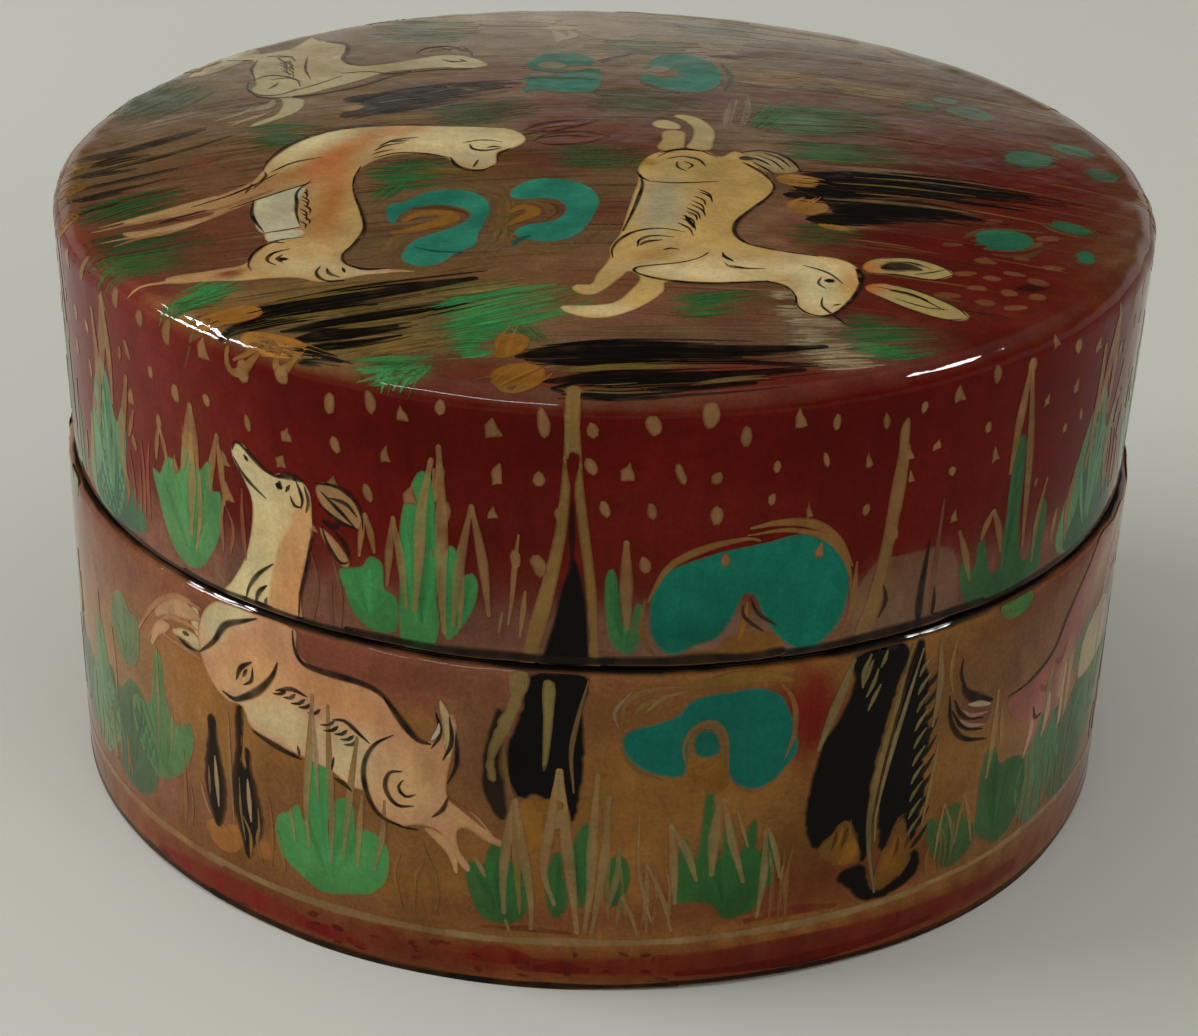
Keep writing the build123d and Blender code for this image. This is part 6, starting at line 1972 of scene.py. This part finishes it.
def round_seam():
    """Black along the lid's rim: its black edge, and painted shadow of the gap, thicker where the shade
    falls.
    """
    a = -AROUND
    while a < AROUND:
        length = chance.uniform(14, 30)
        # painted shadow: widest a little right of the front, thinning round the sides to the back
        shady = (0.5 + 0.5 * math.cos((a + length / 2 - 12) / NOMINAL)) ** 5
        width = 0.4 + 0.8 * shady + chance.uniform(-0.06, 0.1)
        z = LID_RIM + width / 2
        points = [(a + length * i / 5, z + chance.gauss(0, 0.07)) for i in range(6)]
        stroke(LID, "black", points, width, SOOT, 7, 0.5, 0.75)
        a += length * chance.uniform(0.86, 0.97)


def round_foot():
    """The gilt line, the red band and the black line round the foot."""
    a = -AROUND
    while a < AROUND:
        length = chance.uniform(16, 34)
        where = [a + length * i / 4 for i in range(5)]
        gilt = [(at, 4.9 + 0.8 * math.sin(at / NOMINAL) + chance.gauss(0, 0.08)) for at in where]
        stroke(BASE, "gold", gilt, chance.uniform(0.8, 1.1), tinted(colour("7a6644"), 0.06), 3, 0.5, 0.7,
               cover=0.9 if abs(a + 4) < 36 else 0.5, dry=0.4)
        stroke(BASE, "black", [(at, 0.45 + 0.2 * math.sin(at / 9)) for at in where], chance.uniform(0.5, 0.9),
               SOOT, 4, 0.5, 0.8)
        a += length * chance.uniform(0.85, 0.95)
    for turn in (-1, 0, 1):
        for points, width, paint in (
            ([(-46, 1.2), (-38, 1.9), (-30, 2.2), (-23, 1.6)], 2.6, colour("620f12")),
            ([(-6, 2.4), (12, 2.5), (30, 2.5), (46, 2.2)], 3.0, colour("56150f")),
            ([(-26, 1.8), (-22, 1.9), (-19.6, 1.2)], 1.6, colour("5c0f0d")),
            ([(-10.4, 2.6), (-7.6, 3.2), (-4.6, 2.9)], 2.2, colour("620f0b")),
            ([(-19.4, 3.5), (-18.2, 3.8), (-16.8, 3.4)], 0.8, colour("5a1a10")),
            ([(-4.4, 2), (-2, 2.3), (0.6, 2)], 1.4, colour("501008")),
            ([(1, 2.2), (3.4, 2.4), (5.6, 1.9)], 1.3, colour("5a150e")),
            ([(6, 3.2), (16, 3.2), (30, 3.3)], 1.6, colour("54130c")),
            ([(-9, 5.9), (-5, 6.1), (-1, 5.8)], 0.7, colour("5a1c12")),
            ([(14, 6.4), (18, 6.8), (23, 6.3)], 1.1, colour("5c1e14")),
            ([(8, 1.6), (20, 1.5), (34, 1.7)], 1.2, colour("4c110b")),
        ):
            stroke(BASE, "earths", shifted(points, turn * FRIEZE), width, paint, 2, 0.5, 0.5, cover=0.8,
                   dry=0.5)
        for _ in range(26):
            spot = (turn * FRIEZE + chance.uniform(-26, 8), chance.uniform(1, 3.8))
            blot(BASE, "earths", spot, (chance.uniform(0.2, 0.7), chance.uniform(0.15, 0.35)),
                 chance.choice((colour("55130c"), colour("3c130d"))), 3, chance.uniform(-20, 20), 0.7)


def paint_sides():
    sparks(-AROUND, AROUND - 2)
    for turn in (0, 1, -1):
        a = turn * FRIEZE
        lid_side(a)
        base_side(a)
        leaping_deer(a)
        cypress(a)
        hill(a)
        dark_plant(a)
        leaf_pair(a)
        if turn == 0:
            pink_deer(a)
    round_seam()
    round_foot()


paint_sides()


# ---- the two skins ----------------------------------------------------------------------------------------
CLEAR = 0.2                                      # height between a rounding and the side's next row
RIM_REACH = 3                                    # how far up or down the side a rim's waves reach
INNER_CORNER = 2                                 # size of the slope between the lid's inner side and top
INNER_MIDDLE = 20                                # radius of the last row under the lid's top
BLEND_LOW = EDGE - 1.3                           # the colours of the top take over from here
BLEND = 1.2                                      # over this height
# painted shade: the rims are darkened next to the gap between lid and base, their black edge and the gap's
# shadow together
LID_BLACK_AND_SHADE = 0.4                                  # the lid's rim is black up to here
LID_FADE = 0.25                                  # and fades out over this height
BASE_BLACK_AND_SHADE = 0.3                                 # the same at the base's rim, downwards
BASE_FADE = 0.2
PAINT = "paint"                                  # the colour that each vertex carries


def way_of(radius, height):
    """The way along the lid's outside at a radius and height on it."""
    if radius <= CORNER_R:
        return CORNER_Z + BEND + CORNER_R - radius
    if height <= CORNER_Z:
        return height
    return CORNER_Z + CORNER * math.atan2(height - CORNER_Z, radius - CORNER_R)


def turned_mesh(name, rows, closed_middle):
    """A closed mesh turned from rows.

    A row is (radius, height, outward radius, outward height, unevenness, share of the rim's waves).
    """
    angles = np.arange(SIDES) * 2 * math.pi / SIDES
    out = np.column_stack([np.sin(angles), -np.cos(angles), np.zeros(SIDES)])
    verts = []
    for radius, height, nr, nz, share, rim in rows:
        ring = out * radius
        ring[:, 2] = height
        normal = out * nr
        normal[:, 2] = nz
        stray = lid_stray(ring, near_corner(way_of(radius, height))) if closed_middle else base_stray(ring)
        moved = ring + normal * (share * stray)[:, None]
        moved[:, 2] += RIM_UNEVEN * rim * ripple(ring, RIM_WAVES)
        verts.append(moved)
    faces = []
    last = len(rows) if not closed_middle else len(rows) - 1
    for i in range(last):
        a, b = i * SIDES, ((i + 1) % len(rows)) * SIDES
        faces += [(a + k, b + k, b + (k + 1) % SIDES, a + (k + 1) % SIDES) for k in range(SIDES)]
    verts = np.vstack(verts)
    if closed_middle:
        n = len(verts)
        ends = [(0, False), ((len(rows) - 1) * SIDES, True)]
        for start, inner in ends:
            middle = verts[start : start + SIDES].mean(axis=0)
            verts = np.vstack([verts, middle])
            fan = [(n, start + k, start + (k + 1) % SIDES) for k in range(SIDES)]
            faces += [tuple(reversed(f)) for f in fan] if inner else fan
            n += 1
    mesh = bpy.data.meshes.new(name)
    mesh.from_pydata((verts * MM).tolist(), [], faces)
    mesh.validate()
    return mesh, verts


def arc_rows(radius, height, size, start, end, count, share=1.0, rim=0.0):
    """Rows round a corner whose centre is at (radius, height), from one angle to another, in degrees."""
    made = []
    for i in range(count):
        turn = math.radians(start + (end - start) * i / (count - 1))
        nr, nz = math.cos(turn), math.sin(turn)
        made.append((radius + size * nr, height + size * nz, nr, nz, share, rim))
    return made


def side_rows(radius_at, high, low, rim_below):
    """Rows down a leaning side, which shares the waves of the rim that it ends on."""
    count = int((high - low) / ROW)
    made = []
    for z in np.linspace(high, low, count + 1):
        from_rim = z - low if rim_below else high - z
        made.append((radius_at(z), z, 1, 0, 1, max(0, 1 - from_rim / RIM_REACH)))
    return made


def lid_rows():
    rows = []
    for r in np.arange(ROW, CORNER_R, ROW):
        slope = 2 * CROWN * r / EDGE_RADIUS**2
        rows.append((r, dome(r), slope, 1, 1, 0))
    rows += arc_rows(CORNER_R, CORNER_Z, CORNER, 87.7, 1, 9)
    low = LID_RIM + RIM_ROUND
    rows += side_rows(lid_radius, CORNER_Z - 2 * CLEAR, low + CLEAR, rim_below=True)
    rows += arc_rows(lid_radius(low) - RIM_ROUND, low, RIM_ROUND, 0, -90, 5, 1, 1)
    top = EDGE - SKIN
    turn = top - INNER_CORNER
    rows += [(LID_RIM_RADIUS - SKIN, LID_RIM, 1, 0, 0, 1), (lid_radius(turn) - SKIN, turn, 1, 0, 0, 0)]
    rows += [(lid_radius(top) - SKIN - 1.2, top, 1, 0, 0, 0), (INNER_MIDDLE, top, 1, 0, 0, 0)]
    return rows


def base_rows():
    high = BASE_RIM - BASE_ROUND
    rows = arc_rows(base_radius(high) - BASE_ROUND, high, BASE_ROUND, 90, 0, 7, 1, 1)
    rows += side_rows(base_radius, high - CLEAR, FOOT_ROUND + CLEAR, rim_below=False)
    rows += arc_rows(base_radius(FOOT_ROUND) - FOOT_ROUND, FOOT_ROUND, FOOT_ROUND, 0, -90, 5, 0.5)
    rows += [(FOOT_RADIUS - SKIN, 0, 1, 0, 0, 0), (BASE_RIM_RADIUS - SKIN, BASE_RIM, 1, 0, 0, 1)]
    return rows


def coat(mesh, values):
    """Puts a colour on every vertex."""
    layer = mesh.color_attributes.new(PAINT, "FLOAT_COLOR", "POINT")
    rgba = np.column_stack([values, np.ones(len(values))]).astype(np.float32)
    layer.data.foreach_set("color", rgba.ravel())
    mesh.polygons.foreach_set("use_smooth", [True] * len(mesh.polygons))


def flat_of(verts):
    """Where vertices lie in the painting: (x, y) as on the top, and (a, z) as on the sides."""
    a = np.arctan2(verts[:, 0], -verts[:, 1]) * NOMINAL
    return verts[:, :2], np.column_stack([a, verts[:, 2]])


def blackened_and_shaded(values, near):
    """Colours turned black where near is 1 or more: the rims' black edges and painted shadow of the gap
    between lid and base.
    """
    return values + (SOOT - values) * np.clip(near, 0, 1)[:, None]


def build_lid():
    mesh, verts = turned_mesh("lid_skin_painted", lid_rows(), True)
    over, beside = flat_of(verts)
    values = lid_side_ground(beside)
    top = top_ground(over - OFF_MIDDLE)
    share = np.clip((verts[:, 2] - BLEND_LOW) / BLEND, 0, 1)[:, None]
    values = values * (1 - share) + top * share
    # the rim darkened: its black edge and painted shadow of the gap
    coat(mesh, blackened_and_shaded(values, (LID_RIM + LID_BLACK_AND_SHADE - verts[:, 2]) / LID_FADE))
    return mesh


def build_base():
    mesh, verts = turned_mesh("base_skin_painted", base_rows(), False)
    values = base_ground(flat_of(verts)[1])
    # the rim darkened: its black edge and painted shadow of the gap under the lid
    coat(mesh, blackened_and_shaded(values, (verts[:, 2] - BASE_RIM + BASE_BLACK_AND_SHADE) / BASE_FADE))
    return mesh


# ---- materials --------------------------------------------------------------------------------------------
class Nodes:
    """A node material built by name."""

    def __init__(self, name):
        self.material = bpy.data.materials.new(name)
        self.material.use_nodes = True
        self.tree = self.material.node_tree
        self.shader = self.tree.nodes["Principled BSDF"]
        self.coords = self.tree.nodes.new("ShaderNodeTexCoord").outputs["Object"]

    def link(self, source, target):
        self.tree.links.new(source, target)

    def stretched(self, scale):
        node = self.tree.nodes.new("ShaderNodeMapping")
        node.inputs["Scale"].default_value = scale
        self.link(self.coords, node.inputs["Vector"])
        return node.outputs["Vector"]

    def noise(self, scale, detail=3, roughness=0.55, vector=None, distortion=0.0):
        node = self.tree.nodes.new("ShaderNodeTexNoise")
        node.inputs["Scale"].default_value = scale
        node.inputs["Detail"].default_value = detail
        node.inputs["Roughness"].default_value = roughness
        node.inputs["Distortion"].default_value = distortion
        self.link(vector or self.coords, node.inputs["Vector"])
        return node.outputs["Fac"]

    def ramp(self, value, *stops):
        node = self.tree.nodes.new("ShaderNodeValToRGB")
        ramp = node.color_ramp
        while len(ramp.elements) < len(stops):
            ramp.elements.new(0.5)
        for element, (position, shade) in zip(ramp.elements, stops):
            element.position = position
            element.color = (*shade, 1) if len(np.shape(shade)) else (shade, shade, shade, 1)
        self.link(value, node.inputs["Fac"])
        return node.outputs["Color"]

    def mix(self, way, factor, first, second):
        node = self.tree.nodes.new("ShaderNodeMix")
        node.data_type, node.blend_type = "RGBA", way
        for socket, value in ((node.inputs[0], factor), (node.inputs[6], first), (node.inputs[7], second)):
            if hasattr(value, "links"):
                self.link(value, socket)
            else:
                socket.default_value = value
        return node.outputs[2]

    def attribute(self, name):
        node = self.tree.nodes.new("ShaderNodeAttribute")
        node.attribute_name = name
        return node.outputs["Color"]

    def bump(self, height, strength, distance, normal=None):
        node = self.tree.nodes.new("ShaderNodeBump")
        node.inputs["Strength"].default_value = strength
        node.inputs["Distance"].default_value = distance
        self.link(height, node.inputs["Height"])
        if normal is not None:
            self.link(normal, node.inputs["Normal"])
        return node.outputs["Normal"]


LACQUER_IOR = 1.17
LACQUER_WEIGHT = 1.0


def lacquered(nodes, grain_bump):
    """Clear lacquer over paint: the paint is soft, the gloss is all in the coat."""
    shader = nodes.shader
    shader.inputs["Roughness"].default_value = 0.6
    shader.inputs["Specular IOR Level"].default_value = 0.0
    shader.inputs["Coat Weight"].default_value = LACQUER_WEIGHT
    shader.inputs["Coat Roughness"].default_value = 0.05
    shader.inputs["Coat IOR"].default_value = LACQUER_IOR
    shader.inputs["Coat Tint"].default_value = (1.0, 0.97, 0.9, 1)
    swell = nodes.noise(210, 2, 0.5)
    wave = nodes.bump(swell, 0.2, 0.0003)
    speck = nodes.noise(520, 3, 0.6)
    gloss = nodes.bump(speck, 0.12, 0.0001, wave)
    nodes.link(gloss, shader.inputs["Coat Normal"])
    nodes.link(nodes.bump(grain_bump, 0.3, 0.00008, wave), shader.inputs["Normal"])


def paint_material(name, grain, mottle, contrast, swept):
    """Paint whose colour each stroke carries, broken by bristle marks and by thick and thin places."""
    nodes = Nodes(name)
    bristle = nodes.noise(grain, 4, 0.65, nodes.stretched((1, 1, 0.22)))
    sweep = nodes.noise(grain * 1.3, 4, 0.7, nodes.stretched((0.2, 1, 1)))
    cloud = nodes.noise(mottle, 3, 0.6)
    speck = nodes.noise(2600, 2, 0.7)
    tint = nodes.attribute(PAINT)
    shaded = tint
    marks = ((bristle, contrast * 0.6), (sweep, contrast * swept), (cloud, contrast), (speck, contrast * 0.7))
    for pattern, share in marks:
        shaded = nodes.mix("MULTIPLY", 1.0, shaded, nodes.ramp(pattern, (0.3, 1 - share), (0.7, 1 + share)))
    nodes.link(shaded, nodes.shader.inputs["Base Color"])
    lacquered(nodes, bristle)
    return nodes.material


def black_paper_material():
    """Pasted paper brushed black and thinly varnished: paper fibre, brush marks and dust in the hollows."""
    nodes = Nodes("black_lacquered_paper")
    fibre = nodes.noise(900, 5, 0.7)
    brushed = nodes.noise(260, 3, 0.5, nodes.stretched((1, 1, 0.15)))
    tint = nodes.ramp(fibre, (0.3, colour("0c0907")), (0.62, colour("1d1713")), (0.8, colour("33291f")))
    nodes.link(nodes.mix("MULTIPLY", 1.0, tint, nodes.ramp(brushed, (0.3, 0.6), (0.7, 1.0))),
               nodes.shader.inputs["Base Color"])
    nodes.link(nodes.ramp(brushed, (0.3, 0.36), (0.7, 0.55)), nodes.shader.inputs["Roughness"])
    nodes.shader.inputs["Specular IOR Level"].default_value = 0.35
    nodes.link(nodes.bump(fibre, 0.4, 0.0001, nodes.bump(brushed, 0.3, 0.0002)),
               nodes.shader.inputs["Normal"])
    return nodes.material


# ---- putting it together ----------------------------------------------------------------------------------
def show(mesh, name, body, material):
    mesh.materials.append(material)
    made = bpy.data.objects.new(name, mesh)
    bpy.context.collection.objects.link(made)
    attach(made, body)
    return made


ground = paint_material("painted_ground", 420, 60, 0.22, 0.5)
pigments = paint_material("painted_strokes", 700, 160, 0.16, 0.25)
black_paper = black_paper_material()

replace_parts(show(build_lid(), "lid_skin_painted", "lid", ground), "lid_skin")
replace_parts(show(build_base(), "base_skin_painted", "base", ground), "base_skin")

for node in ("base_wall", "base_floor", "base_collar", "lid_wall", "lid_top"):
    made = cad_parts[node]
    made.data.materials.clear()
    made.data.materials.append(black_paper)

for made in pieces.values():
    mesh = bpy.data.meshes.new(made.name)
    mesh.from_pydata((np.vstack(made.verts) * MM).tolist(), [], made.faces)
    coat(mesh, np.vstack(made.paint))
    show(mesh, made.name, made.body, pigments)


# ---- floor, light and camera ------------------------------------------------------------------------------
def plain_floor():
    nodes = Nodes("pale_floor")
    cloud = nodes.noise(3, 2, 0.5)
    tone = nodes.ramp(cloud, (0.3, colour("b9b9b0")), (0.7, colour("bdbdb5")))
    nodes.link(tone, nodes.shader.inputs["Base Color"])
    nodes.shader.inputs["Roughness"].default_value = 0.9
    nodes.shader.inputs["Specular IOR Level"].default_value = 0.1
    mesh = bpy.data.meshes.new("floor")
    reach = 6.0
    corners = [(-reach, -reach, 0), (reach, -reach, 0), (reach, reach, 0), (-reach, reach, 0)]
    mesh.from_pydata(corners, [], [(0, 1, 2, 3)])
    mesh.materials.append(nodes.material)
    floor = bpy.data.objects.new("floor", mesh)
    bpy.context.collection.objects.link(floor)


LAMPS_AIM = (0, 0, 0.03)                         # half way up the box


def softbox(name, place, size, watts, glint=False):
    """A rectangular lamp aimed at the box.

    A glint shows in the gloss alone, and any other lamp lights and isn't mirrored.
    """
    lamp = bpy.data.lights.new(name, "AREA")
    lamp.shape, lamp.size, lamp.size_y = "RECTANGLE", *size
    lamp.energy = watts
    made = bpy.data.objects.new(name, lamp)
    made.visible_diffuse = not glint
    made.visible_glossy = glint
    made.location = place
    aim = Vector(LAMPS_AIM) - Vector(place)
    made.rotation_euler = aim.to_track_quat("-Z", "Y").to_euler()
    bpy.context.collection.objects.link(made)


def surroundings():
    """An even room, paler low down all round and dimmer overhead."""
    world = bpy.context.scene.world or bpy.data.worlds.new("room")
    bpy.context.scene.world = world
    world.use_nodes = True
    tree = world.node_tree
    coords = tree.nodes.new("ShaderNodeTexCoord").outputs["Generated"]
    split = tree.nodes.new("ShaderNodeSeparateXYZ")
    ramp = tree.nodes.new("ShaderNodeValToRGB")
    tree.links.new(coords, split.inputs[0])
    tree.links.new(split.outputs["Z"], ramp.inputs["Fac"])
    stops = ((0.0, 0.9), (0.24, 0.9), (0.34, 0.04), (0.50, 0.04), (0.64, 0.45), (1.0, 0.5))
    while len(ramp.color_ramp.elements) < len(stops):
        ramp.color_ramp.elements.new(0.5)
    for element, (position, value) in zip(ramp.color_ramp.elements, stops):
        element.position, element.color = position, (value, value, value * 0.97, 1)
    tree.links.new(ramp.outputs["Color"], tree.nodes["Background"].inputs["Color"])


CAMERA_DISTANCE = 0.3300
CAMERA_ELEVATION = 29.70
CAMERA_TURN = (-0.051, 3.280, -1.667)            # yaw, pitch and roll away from the foot's centre, in degrees
FOCAL_LENGTH = 99.95
SENSOR = 36.0


def camera():
    data = bpy.data.cameras.new("camera")
    data.lens, data.sensor_width, data.sensor_fit = FOCAL_LENGTH, SENSOR, "HORIZONTAL"
    made = bpy.data.objects.new("camera", data)
    rise = math.radians(CAMERA_ELEVATION)
    place = Vector((0, -math.cos(rise), math.sin(rise))) * CAMERA_DISTANCE
    forward = -place.normalized()
    right = forward.cross(Vector((0, 0, 1))).normalized()
    up = right.cross(forward)
    yaw, pitch, roll = (math.radians(turn) for turn in CAMERA_TURN)
    turn = Matrix.Rotation(yaw, 3, up)
    forward, right = turn @ forward, turn @ right
    turn = Matrix.Rotation(pitch, 3, right)
    forward, up = turn @ forward, turn @ up
    turn = Matrix.Rotation(roll, 3, forward)
    right, up = turn @ right, turn @ up
    made.matrix_world = Matrix((right, up, -forward)).transposed().to_4x4()
    made.location = place
    bpy.context.collection.objects.link(made)
    bpy.context.scene.camera = made


plain_floor()
surroundings()
softbox("window", (-1.15, 0.02, 0.42), (0.8, 0.6), 14.5)
softbox("overhead", (0.0, -0.30, 1.60), (2.4, 2.0), 8.2)
softbox("fill", (0.8, -1.0, 0.6), (0.8, 0.6), 4.4)
softbox("left_glint", (-0.446, 0.188, 0.573), (0.30, 0.07), 12, glint=True)
softbox("low_glint", (-0.50, 0.03, 0.38), (0.16, 0.06), 4, glint=True)
softbox("right_glint", (0.383, 0.083, 0.518), (0.12, 0.07), 3.6, glint=True)
softbox("high_glint", (-0.30, -0.45, 0.75), (0.50, 0.04), 4, glint=True)
camera()
bpy.context.scene.view_settings.view_transform = "Standard"
